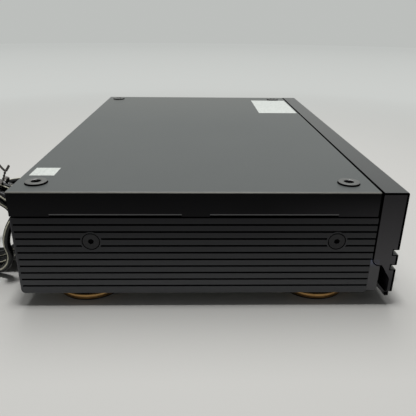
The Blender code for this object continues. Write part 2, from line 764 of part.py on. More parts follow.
def panel_section():
    """The moulding's cross-section: front wall, two grooves, chin and lip, then back inside."""
    slope = (CHIN_TOP + LIP_DROP) / (CHIN_BACK - LIP_BACK)
    inner_floor = PANEL_FOOT
    chin_inner = CHIN_TOP + CHIN_WALL
    floor_meets_chin = CHIN_BACK - (chin_inner - inner_floor) / slope
    outer = [
        (PANEL_DEPTH, BODY_HEIGHT),
        (0, BODY_HEIGHT),
        (0, UPPER_GROOVE_TOP),
        (GROOVE_INSET, UPPER_GROOVE_TOP),
        (GROOVE_INSET, UPPER_GROOVE_BOTTOM),
        (0, UPPER_GROOVE_BOTTOM),
        (0, LOWER_GROOVE_TOP),
        (GROOVE_INSET, LOWER_GROOVE_TOP),
        (GROOVE_INSET, LOWER_GROOVE_BOTTOM),
        (0, LOWER_GROOVE_BOTTOM),
        (0, PANEL_FOOT),
        (LIP_FRONT, PANEL_FOOT),
        (LIP_FRONT, -LIP_DROP),
        (LIP_BACK, -LIP_DROP),
        (CHIN_BACK, CHIN_TOP),
    ]
    inner = [
        (CHIN_BACK, chin_inner),
        (floor_meets_chin, inner_floor),
        (LOWER_WALL, inner_floor),
        (LOWER_WALL, LOWER_GROOVE_BOTTOM - LEDGE),
        (STRIP_BACK, LOWER_GROOVE_BOTTOM - LEDGE),
        (STRIP_BACK, UPPER_GROOVE_TOP + LEDGE),
        (FRONT_WALL, UPPER_GROOVE_TOP + LEDGE),
        (FRONT_WALL, BODY_HEIGHT - TOP_WALL),
        (PANEL_DEPTH, BODY_HEIGHT - TOP_WALL),
    ]
    placed = [(back(d), up(h)) for d, h in outer + inner]
    small = PANEL_EDGE / 3
    return rounded(placed, {1: PANEL_EDGE, 2: small, 5: small, 6: small, 9: small, 10: small}, 2)


def cheek_outline():
    """The end wall: square at the top, its lower rear corner rounded and its foot cut away."""
    turn_centre = (back(PANEL_DEPTH - CHEEK_RADIUS), up(CHEEK_TURN))
    corner = arc(turn_centre, CHEEK_RADIUS, 0, -math.pi / 2, 4)
    inside = FRONT_WALL / 2
    return [
        (back(inside), up(CHEEK_BASE)),
        (back(inside), up(BODY_HEIGHT) - TOP_WALL / 2),
        (back(PANEL_DEPTH), up(BODY_HEIGHT) - TOP_WALL / 2),
        *corner,
        (back(CHEEK_NOSE), up(CHEEK_TURN) - CHEEK_RADIUS),
        (back(LOWER_WALL), up(CHEEK_BASE)),
    ]


def groove_tool(top, bottom):
    return box(
        (-SIDE_X - OVERRUN, SIDE_X + OVERRUN),
        (back(-OVERRUN), back(GROOVE_INSET)),
        (up(bottom), up(top)),
    )


def front_panel():
    panel = prism("X", panel_section(), -SIDE_X, SIDE_X)
    cheeks = [prism("X", cheek_outline(), -SIDE_X, -SIDE_X + END_WALL)]
    cheeks.append(prism("X", cheek_outline(), SIDE_X - END_WALL, SIDE_X))
    join(panel, *cheeks)
    tools = [
        groove_tool(UPPER_GROOVE_TOP, UPPER_GROOVE_BOTTOM),
        groove_tool(LOWER_GROOVE_TOP, LOWER_GROOVE_BOTTOM),
    ]
    through = (back(-OVERRUN), back(LOWER_WALL + OVERRUN))
    door_half = DOOR_HALF_WIDTH + GAP
    tools.append(box((-door_half, door_half), through, (up(DOOR_BOTTOM) - GAP, up(DOOR_TOP) + GAP)))
    tools.append(prism("Y", window_outline(GAP), *through))
    for x, height, width, tall in button_places().values():
        hole = rectangle(x, up(height), width / 2 + GAP, tall / 2 + GAP, BUTTON_CORNER)
        tools.append(prism("Y", hole, *through))
    tools.append(rod("Y", (KNOB_X, up(KNOB_HEIGHT)), KNOB_SHAFT + GAP, *through, SMALL))
    tools.append(rod("Y", (PHONES_X, up(KNOB_HEIGHT)), PHONES_BARREL + GAP, *through, SMALL))
    name_piece(cut(panel, *tools), "front_panel", "black_front_plastic")


def button_places():
    """Centre across, centre height, width and height of each push button."""
    places = {"power_button": (POWER_X, POWER_HEIGHT, POWER_WIDTH, POWER_TALL)}
    row = ROW_END - ROW_START
    for name, (middle, width) in ROW_SHARES.items():
        places[name] = (ROW_START + middle * row, LOWER_ROW, width * row, LOWER_ROW_TALL)
    return places


def window_outline(rim):
    """The display window seen from the front, grown by a rim."""
    half_x, half_z = WINDOW_HALF_WIDTH + rim, WINDOW_HALF_HEIGHT + rim
    return rectangle(WINDOW_X, up(WINDOW_HEIGHT), half_x, half_z, WINDOW_CORNER)


def display_window():
    wall_back = back(FRONT_WALL + GAP)
    rear = wall_back + WINDOW_RIM_THICKNESS
    body = prism("Y", window_outline(0), back(GAP), rear)
    rim = prism("Y", window_outline(WINDOW_RIM), wall_back, rear)
    name_piece(join(body, rim), "display_window", "smoked_window")


def display_tube():
    """Glass display box standing on its pin rows and its own narrow board."""
    board_front = FRAME_DEPTH - GAP - TUBE_BOARD
    board_half = TUBE_HALF_WIDTH + TUBE_PIN_HALF
    z_half = TUBE_HALF_HEIGHT + TUBE_PIN_HALF
    middle = up(WINDOW_HEIGHT)
    tube = box(
        (WINDOW_X - TUBE_HALF_WIDTH, WINDOW_X + TUBE_HALF_WIDTH),
        (back(TUBE_FRONT), back(TUBE_FRONT + TUBE_THICKNESS)),
        (middle - TUBE_HALF_HEIGHT, middle + TUBE_HALF_HEIGHT),
    )
    board = box(
        (WINDOW_X - board_half, WINDOW_X + board_half),
        (back(board_front), back(board_front + TUBE_BOARD)),
        (middle - z_half, middle + z_half),
    )
    pins = [
        box(
            (WINDOW_X - TUBE_HALF_WIDTH + TUBE_PIN_HALF, WINDOW_X + TUBE_HALF_WIDTH - TUBE_PIN_HALF),
            (back(TUBE_FRONT + TUBE_THICKNESS / 2), back(board_front + TUBE_BOARD / 2)),
            (place - TUBE_PIN_HALF / 2, place + TUBE_PIN_HALF / 2),
        )
        for place in (middle - TUBE_HALF_HEIGHT + TUBE_PIN_HALF, middle + TUBE_HALF_HEIGHT - TUBE_PIN_HALF)
    ]
    name_piece(join(tube, board, *pins), "display_tube", "tube_glass")


def push_button(name, x, height, width, tall):
    """A cap that fills its hole, a flange that keeps it in, and a stem towards its switch."""
    wall = FRONT_WALL if height > UPPER_GROOVE_TOP else LOWER_WALL
    flange_front = back(wall + GAP)
    cap = prism(
        "Y",
        rectangle(x, up(height), width / 2, tall / 2, BUTTON_CORNER),
        back(-BUTTON_PROUD),
        flange_front + BUTTON_FLANGE_THICKNESS / 2,
    )
    flange = box(
        (x - width / 2 - BUTTON_FLANGE, x + width / 2 + BUTTON_FLANGE),
        (flange_front, flange_front + BUTTON_FLANGE_THICKNESS),
        (up(height) - tall / 2 - BUTTON_FLANGE, up(height) + tall / 2 + BUTTON_FLANGE),
    )
    stem = rod("Y", (x, up(height)), STEM_RADIUS, flange_front, back(BUTTON_REAR), TINY)
    middle = (x, back(0), up(height))
    name_piece(join(cap, flange, stem), name, "black_front_plastic", middle)


def level_knob():
    """Turned knob with a fluted rim, a pointer groove and its shaft."""
    centre = (KNOB_X, up(KNOB_HEIGHT))
    front = back(-KNOB_REACH)
    face = back(-GAP)
    profile = [
        (0, front),
        (KNOB_RADIUS - KNOB_EDGE, front),
        (KNOB_RADIUS, front + KNOB_EDGE),
        (KNOB_RADIUS, face - KNOB_SKIRT * 2),
        (KNOB_RADIUS + KNOB_SKIRT, face - KNOB_SKIRT),
        (KNOB_RADIUS + KNOB_SKIRT, face),
        (KNOB_SHAFT, face),
        (KNOB_SHAFT, back(KNOB_SHAFT_BACK)),
        (0, back(KNOB_SHAFT_BACK)),
    ]
    knob = lathe("Y", centre, profile, ROUND)
    tools = []
    for step in range(KNOB_FLUTES):
        turn = 2 * math.pi * (step + 0.5) / KNOB_FLUTES
        place = (centre[0] + KNOB_RADIUS * math.cos(turn), centre[1] + KNOB_RADIUS * math.sin(turn))
        tools.append(rod("Y", place, FLUTE_RADIUS, front - OVERRUN, face - KNOB_SKIRT * 3, 4))
    mark = KNOB_MARK / 2
    tools.append(
        box(
            (KNOB_X - mark, KNOB_X + mark),
            (front - OVERRUN, front + mark),
            (centre[1] + KNOB_RADIUS / 3, centre[1] + KNOB_RADIUS + OVERRUN),
        )
    )
    name_piece(cut(knob, *tools), "level_knob", "black_front_plastic", (centre[0], back(0), centre[1]))


def phones_jack():
    """Headphone socket: ring nut, barrel through the panel, body and a plug bore."""
    centre = (PHONES_X, up(KNOB_HEIGHT))
    nut_front = back(-GAP - PHONES_NUT_THICKNESS)
    barrel = lathe(
        "Y",
        centre,
        [
            (0, nut_front),
            (PHONES_NUT - PHONES_NUT_THICKNESS / 2, nut_front),
            (PHONES_NUT, nut_front + PHONES_NUT_THICKNESS / 2),
            (PHONES_NUT, back(-GAP)),
            (PHONES_BARREL, back(-GAP)),
            (PHONES_BARREL, back(PHONES_BODY_FRONT + PHONES_NUT_THICKNESS)),
            (0, back(PHONES_BODY_FRONT + PHONES_NUT_THICKNESS)),
        ],
        ROUND,
    )
    body = prism(
        "Y",
        rectangle(*centre, PHONES_BODY_HALF, PHONES_BODY_HALF),
        back(PHONES_BODY_FRONT),
        back(PHONES_BODY_BACK),
    )
    bore = rod("Y", centre, PHONES_BORE, nut_front - OVERRUN, back(PHONES_BORE_BACK), SMALL)
    name_piece(cut(join(barrel, body), bore), "phones_jack", "inner_black_plastic")


def front_frame():
    """Inner frame: a plate across the front with a rim under the cover's edge and switch studs."""
    half = SIDE_X - SIDE_THICKNESS - 2 * GAP
    top = up(BODY_HEIGHT - TOP_WALL) - GAP
    front, rear = back(FRAME_DEPTH), back(FRAME_DEPTH + FRAME_SHEET)
    root = back(FRAME_DEPTH + FRAME_SHEET / 2)
    rim = (back(FRAME_RIM_FRONT), root)
    plate = box((-half, half), (front, rear), (up(FRAME_BOTTOM), top))
    others = [box((-half, half), rim, (top - FRAME_SHEET, top))]
    for side in (-half, half - FRAME_SHEET):
        others.append(box((side, side + FRAME_SHEET), rim, (up(CHEEK_TURN), top - FRAME_SHEET / 2)))
    for x, height, _, _ in button_places().values():
        reach = back(BUTTON_REAR + BUTTON_TRAVEL + GAP)
        others.append(rod("Y", (x, up(height)), SWITCH_RADIUS, reach, root, TINY))
    pot = rectangle(KNOB_X, up(KNOB_HEIGHT), KNOB_RADIUS, KNOB_RADIUS)
    others.append(prism("Y", pot, back(KNOB_SHAFT_BACK + GAP), root))
    high = top - FRAME_STUD_INSET
    low = up((UPPER_GROOVE_BOTTOM + LOWER_GROOVE_TOP) / 2)
    for x in HIGH_STUD_XS:
        others.append(rod("Y", (x, high), FRAME_STUD, back(FRONT_WALL + GAP), root, TINY))
    for x in LOW_STUD_XS:
        others.append(rod("Y", (x, low), FRAME_STUD, back(STRIP_BACK + GAP), root, TINY))
    join(plate, *others)
    through = (front - OVERRUN, rear + OVERRUN)
    window_heights = (up(FRAME_WINDOW_BOTTOM), up(FRAME_WINDOW_TOP))
    window = box((-FRAME_WINDOW_HALF, FRAME_WINDOW_HALF), through, window_heights)
    socket_half = PHONES_BODY_HALF + GAP
    socket = prism("Y", rectangle(PHONES_X, up(KNOB_HEIGHT), socket_half, socket_half), *through)
    name_piece(cut(plate, window, socket), "front_frame", "inner_black_plastic")


# Case


def top_cover():
    """Folded steel cover: a flat top and two flanges, each with three longer tabs."""
    w = SIDE_X
    inner = SIDE_X - COVER_SHEET
    top = up(BODY_HEIGHT)
    edge = top - FLANGE_DROP
    low = edge - TAB_DROP
    section = [
        (-w, low),
        (-w, top),
        (w, top),
        (w, low),
        (inner, low),
        (inner, top - COVER_SHEET),
        (-inner, top - COVER_SHEET),
        (-inner, low),
    ]
    cover = prism(
        "Y", rounded(section, {1: COVER_EDGE, 2: COVER_EDGE}), back(PANEL_DEPTH + SEAM), back(BODY_DEPTH)
    )
    tools = [
        box((-w - OVERRUN, w + OVERRUN), (back(start), back(end)), (low - OVERRUN, edge))
        for start, end in ((FRONT_TAB_END, MIDDLE_TAB_START), (MIDDLE_TAB_END, REAR_TAB_START))
    ]
    for x, y in top_screw_places():
        tools.append(rod("Z", (x, y), TOP_SCREW_SHANK + GAP, top - 2 * COVER_SHEET, top + OVERRUN, TINY))
    name_piece(cut(cover, *tools), "top_cover", "satin_black_steel")


def top_screw_places():
    x = SIDE_X - TOP_SCREW_INSET
    return [(side * x, back(depth)) for side in (-1, 1) for depth in TOP_SCREW_DEPTHS]


def top_screw(name, x, y):
    """Wide flat-headed screw: thin crowned disc, a cup with a cross, and its shank."""
    seat = up(BODY_HEIGHT) + GAP
    head = seat + TOP_SCREW_HEAD
    profile = [
        (0, seat - TOP_SCREW_LENGTH),
        (TOP_SCREW_SHANK, seat - TOP_SCREW_LENGTH),
        (TOP_SCREW_SHANK, seat),
        (TOP_SCREW_RADIUS, seat),
        (TOP_SCREW_RADIUS, head - TOP_SCREW_EDGE),
        (TOP_SCREW_RADIUS - TOP_SCREW_EDGE, head),
        (TOP_SCREW_CUP, head),
        (TOP_SCREW_CUP_FLOOR, head - TOP_SCREW_CUP_DEPTH),
        (0, head - TOP_SCREW_CUP_DEPTH),
    ]
    screw = lathe("Z", (x, y), profile, ROUND)
    long, thin = CROSS_LENGTH / 2, CROSS_WIDTH / 2
    deep = (head - TOP_SCREW_CUP_DEPTH - CROSS_DEPTH, head + OVERRUN)
    arms = [
        box((x - long, x + long), (y - thin, y + thin), deep),
        box((x - thin, x + thin), (y - long, y + long), deep),
    ]
    name_piece(cut(screw, *arms), name, "black_screw")


def side_outline():
    """Side panel seen from the side, with the plain block that reaches under the front panel."""
    turn = (back(PANEL_DEPTH - CHEEK_RADIUS), up(CHEEK_TURN))
    hollow = arc(turn, CHEEK_RADIUS + SEAM, 0, -math.pi / 2, 4)
    block_front = back(CHIN_BACK) + GAP
    outline = [
        (back(BODY_DEPTH), up(SIDE_TOP)),
        (back(PANEL_DEPTH + SEAM), up(SIDE_TOP)),
        *hollow,
        (block_front, up(CHEEK_TURN) - CHEEK_RADIUS - SEAM),
        (block_front, up(BLOCK_STEP)),
        (back(BLOCK_BACK), up(BLOCK_STEP)),
        (back(BLOCK_BACK) + BLOCK_SLOPE, up(0)),
        (back(BODY_DEPTH), up(0)),
    ]
    return rounded(outline, {len(outline) - 1: SIDE_CORNER, 8: BLOCK_SLOPE})


def side_panel(name, side):
    """Ribbed panel; side is -1 for the left one and 1 for the right one."""
    outer = side * SIDE_X
    inner = side * (SIDE_X - SIDE_THICKNESS)
    floor = side * (SIDE_X - RIB_GROOVE_DEPTH)
    low, high = sorted((outer, inner))
    panel = prism("X", side_outline(), low, high)
    bosses = [(back(depth), up(SIDE_SCREW_HEIGHT)) for depth in SIDE_SCREW_DEPTHS]
    cut_low, cut_high = sorted((outer + side * OVERRUN, floor))
    slots = []
    for number in range(RIB_GROOVES):
        middle = up(SIDE_TOP - TOP_RIB) - number * RIB_PITCH
        start = back(PANEL_DEPTH) if number < LONG_GROOVES else back(BLOCK_BACK)
        slots.append(
            box(
                (cut_low, cut_high),
                (start, back(BODY_DEPTH) + OVERRUN),
                (middle - RIB_GROOVE / 2, middle + RIB_GROOVE / 2),
            )
        )
    keep_off = SIDE_SCREW_RADIUS + SIDE_SCREW_ROOM + BOSS_MARGIN
    wide = (cut_low - OVERRUN, cut_high + OVERRUN)
    for slot in slots:
        cut(slot, *[rod("X", place, keep_off, *wide, ROUND) for place in bosses])
    seat = side * (SIDE_X - SIDE_SCREW_HEAD - GAP)
    seat_low, seat_high = sorted((outer + side * OVERRUN, seat))
    for place in bosses:
        slots.append(rod("X", place, SIDE_SCREW_RADIUS + SIDE_SCREW_ROOM, seat_low, seat_high, ROUND))
        slots.append(rod("X", place, SIDE_SCREW_SHANK + GAP, low - OVERRUN, high + OVERRUN, TINY))
    name_piece(cut(panel, *slots), name, "ribbed_black_plastic")


def side_screw(name, side, depth):
    """Flush round screw with a socket in its middle."""
    face = side * SIDE_X
    under = face - side * SIDE_SCREW_HEAD
    tip = face - side * SIDE_SCREW_LENGTH
    profile = [
        (0, tip),
        (SIDE_SCREW_SHANK, tip),
        (SIDE_SCREW_SHANK, under),
        (SIDE_SCREW_RADIUS, under),
        (SIDE_SCREW_RADIUS, face),
        (SIDE_SCREW_HOLE, face),
        (SIDE_SCREW_HOLE, face - side * SIDE_SCREW_HOLE_DEPTH),
        (0, face - side * SIDE_SCREW_HOLE_DEPTH),
    ]
    name_piece(lathe("X", (back(depth), up(SIDE_SCREW_HEIGHT)), profile, ROUND), name, "black_screw")


def base_pan():
    """Open steel tray that carries everything, with standing posts for the main board."""
    half = SIDE_X - SIDE_THICKNESS - GAP
    front, rear = back(PAN_FRONT), back(BODY_DEPTH - REAR_SHEET_INSET - PAN_SHEET) - GAP
    bottom = up(PAN_BOTTOM)
    pan = box((-half, half), (front, rear), (bottom, bottom + PAN_WALL))
    hollow = box(
        (-half + PAN_SHEET, half - PAN_SHEET),
        (front + PAN_SHEET, rear - PAN_SHEET),
        (bottom + PAN_SHEET, bottom + PAN_WALL + OVERRUN),
    )
    cut(pan, hollow)
    posts = []
    standing = (bottom + PAN_SHEET / 2, up(BOARD_HEIGHT) - GAP)
    for x in (BOARD_LEFT + BOARD_POST * 2, BOARD_RIGHT - BOARD_POST * 2):
        for depth in (BOARD_FRONT + BOARD_POST * 2, BOARD_BACK - BOARD_POST * 2):
            posts.append(rod("Z", (x, back(depth)), BOARD_POST, *standing, TINY))
    join(pan, *posts)
    socket_room = (JACK_XS[0] - JACK_BLOCK_HALF, OPTICAL_X + 2 * OPTICAL_HALF)
    over_wall = (up(BOARD_HEIGHT), bottom + PAN_WALL + OVERRUN)
    holes = [box(socket_room, (rear - 2 * PAN_SHEET, rear + OVERRUN), over_wall)]
    floor = (bottom - OVERRUN, bottom + PAN_SHEET + OVERRUN)
    for x, y in foot_places():
        holes.append(rod("Z", (x, y), POST_RADIUS + GAP, *floor, TINY))
    for depth in SIDE_SCREW_DEPTHS:
        for side in (-1, 1):
            across = sorted((side * (half + OVERRUN), side * (half - PAN_SHEET - OVERRUN)))
            holes.append(rod("X", (back(depth), up(PAN_WALL / 2)), POST_RADIUS, *across, TINY))
    name_piece(cut(pan, *holes), "base_pan", "zinc_steel")


def rear_panel():
    """Rear sheet with the socket holes, the lead's hole and a row of vents."""
    half = SIDE_X - SIDE_THICKNESS - GAP
    rear = back(BODY_DEPTH - REAR_SHEET_INSET)
    through = (rear - PAN_SHEET - OVERRUN, rear + OVERRUN)
    sheet = box((-half, half), (rear - PAN_SHEET, rear), (up(PAN_BOTTOM), up(REAR_SHEET_TOP)))
    holes = [rod("Y", (x, up(JACK_HEIGHT)), JACK_COLLAR + GAP, *through, SMALL) for x in JACK_XS]
    optical_middle = up(BOARD_HEIGHT + BOARD_SHEET) + GAP + OPTICAL_HALF
    optical = rectangle(OPTICAL_X, optical_middle, OPTICAL_HALF + GAP, OPTICAL_HALF + GAP)
    holes.append(prism("Y", optical, *through))
    holes.append(rod("Y", (RELIEF_X, up(RELIEF_HEIGHT)), RELIEF_WAIST + 2 * GAP, *through, SMALL))
    vent_heights = (up(VENT_BOTTOM), up(VENT_TOP))
    for number in range(VENT_COUNT):
        x = VENT_X + (number - (VENT_COUNT - 1) / 2) * VENT_PITCH
        holes.append(box((x - VENT_HALF_WIDTH, x + VENT_HALF_WIDTH), through, vent_heights))
    name_piece(cut(sheet, *holes), "rear_panel", "satin_black_steel")


def foot_places():
    return [(side * FOOT_X, back(depth)) for side in (-1, 1) for depth in FOOT_DEPTHS]


def foot(name, x, y):
    """Round foot: sole, rim below the ring, hub inside it and a neck up to the pan."""
    top = up(PAN_BOTTOM) - GAP
    profile = [
        (0, 0),
        (FOOT_RADIUS - FOOT_SOLE_INSET, 0),
        (FOOT_RADIUS - FOOT_SOLE_INSET / 2, FOOT_RIM),
        (FOOT_HUB_RADIUS, FOOT_RIM),
        (FOOT_HUB_RADIUS, FOOT_HUB_TOP),
        (FOOT_NECK_RADIUS, FOOT_HUB_TOP),
        (FOOT_NECK_RADIUS, top),
        (0, top),
    ]
    post = rod("Z", (x, y), POST_RADIUS, top - GAP, top + PAN_SHEET, TINY)
    name_piece(join(lathe("Z", (x, y), profile, ROUND), post), name, "foot_plastic")


def foot_ring(name, x, y):
    """Gold ring round the foot, its upper edge turned over to a soft shoulder."""
    inner = FOOT_HUB_RADIUS + GAP
    bottom = FOOT_RIM + GAP
    top = bottom + RING_HEIGHT
    shoulder = arc((FOOT_RADIUS - RING_SHOULDER, top - RING_SHOULDER), RING_SHOULDER, 0, math.pi / 2, 2)
    profile = [(inner, bottom), (FOOT_RADIUS, bottom), *shoulder, (inner, top - RING_SHOULDER / 4)]
    name_piece(lathe("Z", (x, y), profile, ROUND, closed=True), name, "gold_ring")


# Gearing


def involute(angle):
    return math.tan(angle) - angle


def gear_outline(centre, teeth, turn):
    """Involute-flanked teeth on a pitch circle of teeth times half the module."""
    pitch = MODULE * teeth / 2
    base = pitch * math.cos(PRESSURE_ANGLE)
    root = pitch - DEDENDUM_SHARE * MODULE
    tip = pitch + ADDENDUM_SHARE * MODULE
    half_tooth = math.pi / (2 * teeth) * (1 - BACKLASH_SHARE)

    def half_width(radius):
        angle = math.acos(min(1, base / radius))
        return half_tooth + involute(PRESSURE_ANGLE) - involute(angle)

    outline = []
    for number in range(teeth):
        middle = turn + 2 * math.pi * number / teeth
        flank = [(root, half_width(base)), (tip, half_width(tip))]
        for radius, half in flank:
            outline.append((radius, middle - half))
        for radius, half in reversed(flank):
            outline.append((radius, middle + half))
    return [(centre[0] + r * math.cos(a), centre[1] + r * math.sin(a)) for r, a in outline]


def rack_outline(back_x, pitch_x, facing, first_y, last_y, tooth_y):
    """A straight toothed bar; tooth_y is the middle of one tooth and facing points out of the teeth."""
    step = math.pi * MODULE
    half = step / 4 * (1 - BACKLASH_SHARE)
    lean = math.tan(PRESSURE_ANGLE)
    root = -DEDENDUM_SHARE * MODULE
    tip = ADDENDUM_SHARE * MODULE
    points = [(back_x, first_y), (pitch_x + facing * root, first_y)]
    first = math.ceil((first_y + half * 2 - tooth_y) / step)
    last = math.floor((last_y - half * 2 - tooth_y) / step)
    for number in range(first, last + 1):
        middle = tooth_y + number * step
        for rise, sign in ((root, -1), (tip, -1), (tip, 1), (root, 1)):
            points.append((pitch_x + facing * rise, middle + sign * (half - rise * lean)))
    points += [(pitch_x + facing * root, last_y), (back_x, last_y)]
    return points


def loading_gear_centre():
    return (-RACK_PITCH_LINE + MODULE * LOADING_TEETH / 2, back(LOADING_GEAR_DEPTH))


def pulley_centre():
    reach = MODULE * (LOADING_TEETH + PINION_TEETH) / 2
    x, y = loading_gear_centre()
    return (x + reach * math.cos(TRAIN_ANGLE), y + reach * math.sin(TRAIN_ANGLE))


def motor_centre():
    return (pulley_centre()[0] + MOTOR_OFFSET, back(MOTOR_DEPTH))


def loading_turn():
    """The gear's turn that puts a tooth space on the rack's side, where the rack has a tooth."""
    return math.pi - math.pi / LOADING_TEETH


def pinion_turn():
    """A pinion tooth stands on the line of centres if the gear has a space there, and so on."""
    gear_phase = (TRAIN_ANGLE - loading_turn()) * LOADING_TEETH
    facing = TRAIN_ANGLE + math.pi
    return facing + (gear_phase - math.pi) / PINION_TEETH


def loading_gear():
    centre = loading_gear_centre()
    outline = gear_outline(centre, LOADING_TEETH, loading_turn())
    wheel = prism("Z", outline, up(GEAR_BOTTOM), up(GEAR_TOP))
    join(wheel, rod("Z", centre, GEAR_HUB, up(SHELF_TOP) + GAP, up(GEAR_TOP) - GAP, SMALL))
    bore = rod("Z", centre, POST_RADIUS + GAP, up(SHELF_TOP), up(GEAR_TOP) + OVERRUN, TINY)
    pivot = (*centre, up(GEAR_BOTTOM))
    name_piece(cut(wheel, bore), "loading_gear", "white_gear", pivot)


def pulley_profile(radius, bore, bottom, top):
    """A belt pulley's section, from its bore out and round its groove."""
    middle = (bottom + top) / 2
    lip = (top - bottom) / 6
    return [
        (bore, bottom),
        (radius, bottom),
        (radius, bottom + lip),
        (radius - PULLEY_GROOVE, middle - lip),
        (radius - PULLEY_GROOVE, middle + lip),
        (radius, top - lip),
        (radius, top),
        (bore, top),
    ]


def pulley_gear():
    """Belt pulley with the pinion standing on it."""
    centre = pulley_centre()
    bore = POST_RADIUS + GAP
    profile = pulley_profile(PULLEY_RADIUS, bore, up(PULLEY_BOTTOM), up(PULLEY_TOP))
    wheel = lathe("Z", centre, profile, ROUND, True)
    pinion = prism("Z", gear_outline(centre, PINION_TEETH, pinion_turn()), up(PULLEY_TOP) - GAP, up(GEAR_TOP))
    cut(pinion, rod("Z", centre, bore, up(PULLEY_BOTTOM), up(GEAR_TOP) + OVERRUN, ROUND))
    name_piece(join(wheel, pinion), "pulley_gear", "white_gear", (*centre, up(PULLEY_BOTTOM)))


def motor_pulley():
    centre = motor_centre()
    profile = pulley_profile(MOTOR_PULLEY_RADIUS, MOTOR_SHAFT + GAP, up(PULLEY_BOTTOM), up(PULLEY_TOP))
    pivot = (*centre, up(PULLEY_BOTTOM))
    name_piece(lathe("Z", centre, profile, SMALL, True), "motor_pulley", "white_gear", pivot)


def belt_line():
    """Centre line of the belt, round both pulley grooves."""
    seat = BELT_RADIUS + GAP - PULLEY_GROOVE
    big, small = PULLEY_RADIUS + seat, MOTOR_PULLEY_RADIUS + seat
    start, end = Vector(pulley_centre()), Vector(motor_centre())
    line = end - start
    along = math.atan2(line.y, line.x)
    lean = math.acos((big - small) / line.length)
    far = arc(tuple(start), big, along + lean, along + 2 * math.pi - lean, 12)
    near = arc(tuple(end), small, along - lean, along + lean, 5)
    return far + near


def tube(points, diameter, sides, cyclic=False):
    """A round tube along points, made by a curve with filled caps and kept as a mesh."""
    curve = bpy.data.curves.new("line", "CURVE")
    curve.dimensions = "3D"
    curve.bevel_depth = diameter / 2
    curve.bevel_resolution = (sides - 4) // 2
    curve.use_fill_caps = True
    spline = curve.splines.new("POLY")
    spline.points.add(len(points) - 1)
    for place, point in zip(spline.points, points):
        place.co = (*point, 1)
    spline.use_cyclic_u = cyclic
    line = bpy.data.objects.new("line", curve)
    bpy.context.scene.collection.objects.link(line)
    bpy.context.view_layer.update()
    graph = bpy.context.evaluated_depsgraph_get()
    mesh = bpy.data.meshes.new_from_object(line.evaluated_get(graph))
    bpy.data.objects.remove(line, do_unlink=True)
    bm = bmesh.new()
    bm.from_mesh(mesh)
    bpy.data.meshes.remove(mesh)
    return solid(bm)


def loading_belt():
    height = up((PULLEY_BOTTOM + PULLEY_TOP) / 2)
    points = [(x, y, height) for x, y in belt_line()]
    name_piece(tube(points, BELT_RADIUS * 2, 4, cyclic=True), "loading_belt", "black_rubber", sharp=RIDGE)


def motor(name, centre, radius, top, height, shaft_top, shaft):
    """Round motor can hung under a plate, its boss and shaft reaching up."""
    profile = [
        (0, top - height - radius / 8),
        (radius / 3, top - height - radius / 8),
        (radius / 3, top - height),
        (radius - radius / 8, top - height),
        (radius, top - height + radius / 8),
        (radius, top),
        (shaft, top),
        (shaft, shaft_top),
        (0, shaft_top),
    ]
    name_piece(lathe("Z", centre, profile, SMALL), name, "motor_steel")


# Disc tray and its loader


def disc_tray():
    """Drawer with a disc well, a small-disc well, a slot open to the rear, rails and a rack."""
    centre = (0, back(DISC_DEPTH))
    front = back(FRONT_WALL + GAP)
    rear = front + TRAY_LENGTH
    slot = TRAY_SLOT_RADIUS
    outline = [
        (TRAY_HALF_WIDTH, front),
        (TRAY_HALF_WIDTH, rear),
        (slot, rear),
        *arc(centre, slot, 0, -math.pi, 12),
        (-slot, rear),
        (-TRAY_HALF_WIDTH, rear),
        (-TRAY_HALF_WIDTH, front),
    ]
    last = len(outline) - 2
    tray = prism("Z", rounded(outline, {1: TRAY_CORNER, last: TRAY_CORNER}), up(TRAY_BOTTOM), up(TRAY_TOP))
    rails = []
    along = (front + TRAY_CORNER, rear - TRAY_CORNER)
    for side in (-1, 1):
        across = sorted((side * (TRAY_HALF_WIDTH - GAP), side * (TRAY_HALF_WIDTH + TRAY_FLANGE)))
        rails.append(box(across, along, (up(TRAY_FLANGE_BOTTOM), up(TRAY_FLANGE_TOP))))
    ends = (back(RACK_FRONT), back(RACK_END))
    rack = rack_outline(-RACK_BACK, -RACK_PITCH_LINE, 1, *ends, back(LOADING_GEAR_DEPTH))
    rails.append(prism("Z", rack, up(TRAY_BOTTOM - RACK_DROP), up(TRAY_BOTTOM) + GAP))
    join(tray, *rails)
    floor = up(TRAY_BOTTOM + TRAY_FLOOR)
    over = up(TRAY_TOP) + OVERRUN
    notch = (back(DISC_DEPTH) - TRAY_NOTCH / 2, back(DISC_DEPTH) + TRAY_NOTCH / 2)
    finger = rectangle(0, front + TRAY_NOTCH_INSET, TRAY_NOTCH / 2, TRAY_NOTCH_DEPTH, TRAY_NOTCH_DEPTH / 2)
    tools = [
        rod("Z", centre, DISC_RADIUS + DISC_ROOM, floor, over, FINE),
        rod("Z", centre, SMALL_DISC_RADIUS + DISC_ROOM, floor - SMALL_WELL_DROP, over, FINE),
        prism("Z", finger, floor, over),
    ]
    for side in (-1, 1):
        across = sorted((side * (TRAY_HALF_WIDTH - TRAY_NOTCH_INSET), side * (TRAY_HALF_WIDTH + OVERRUN)))
        tools.append(box(across, notch, (up(TRAY_FLANGE_TOP), over)))
    name_piece(cut(tray, *tools), "disc_tray", "inner_black_plastic", (0, front, up(TRAY_BOTTOM)))


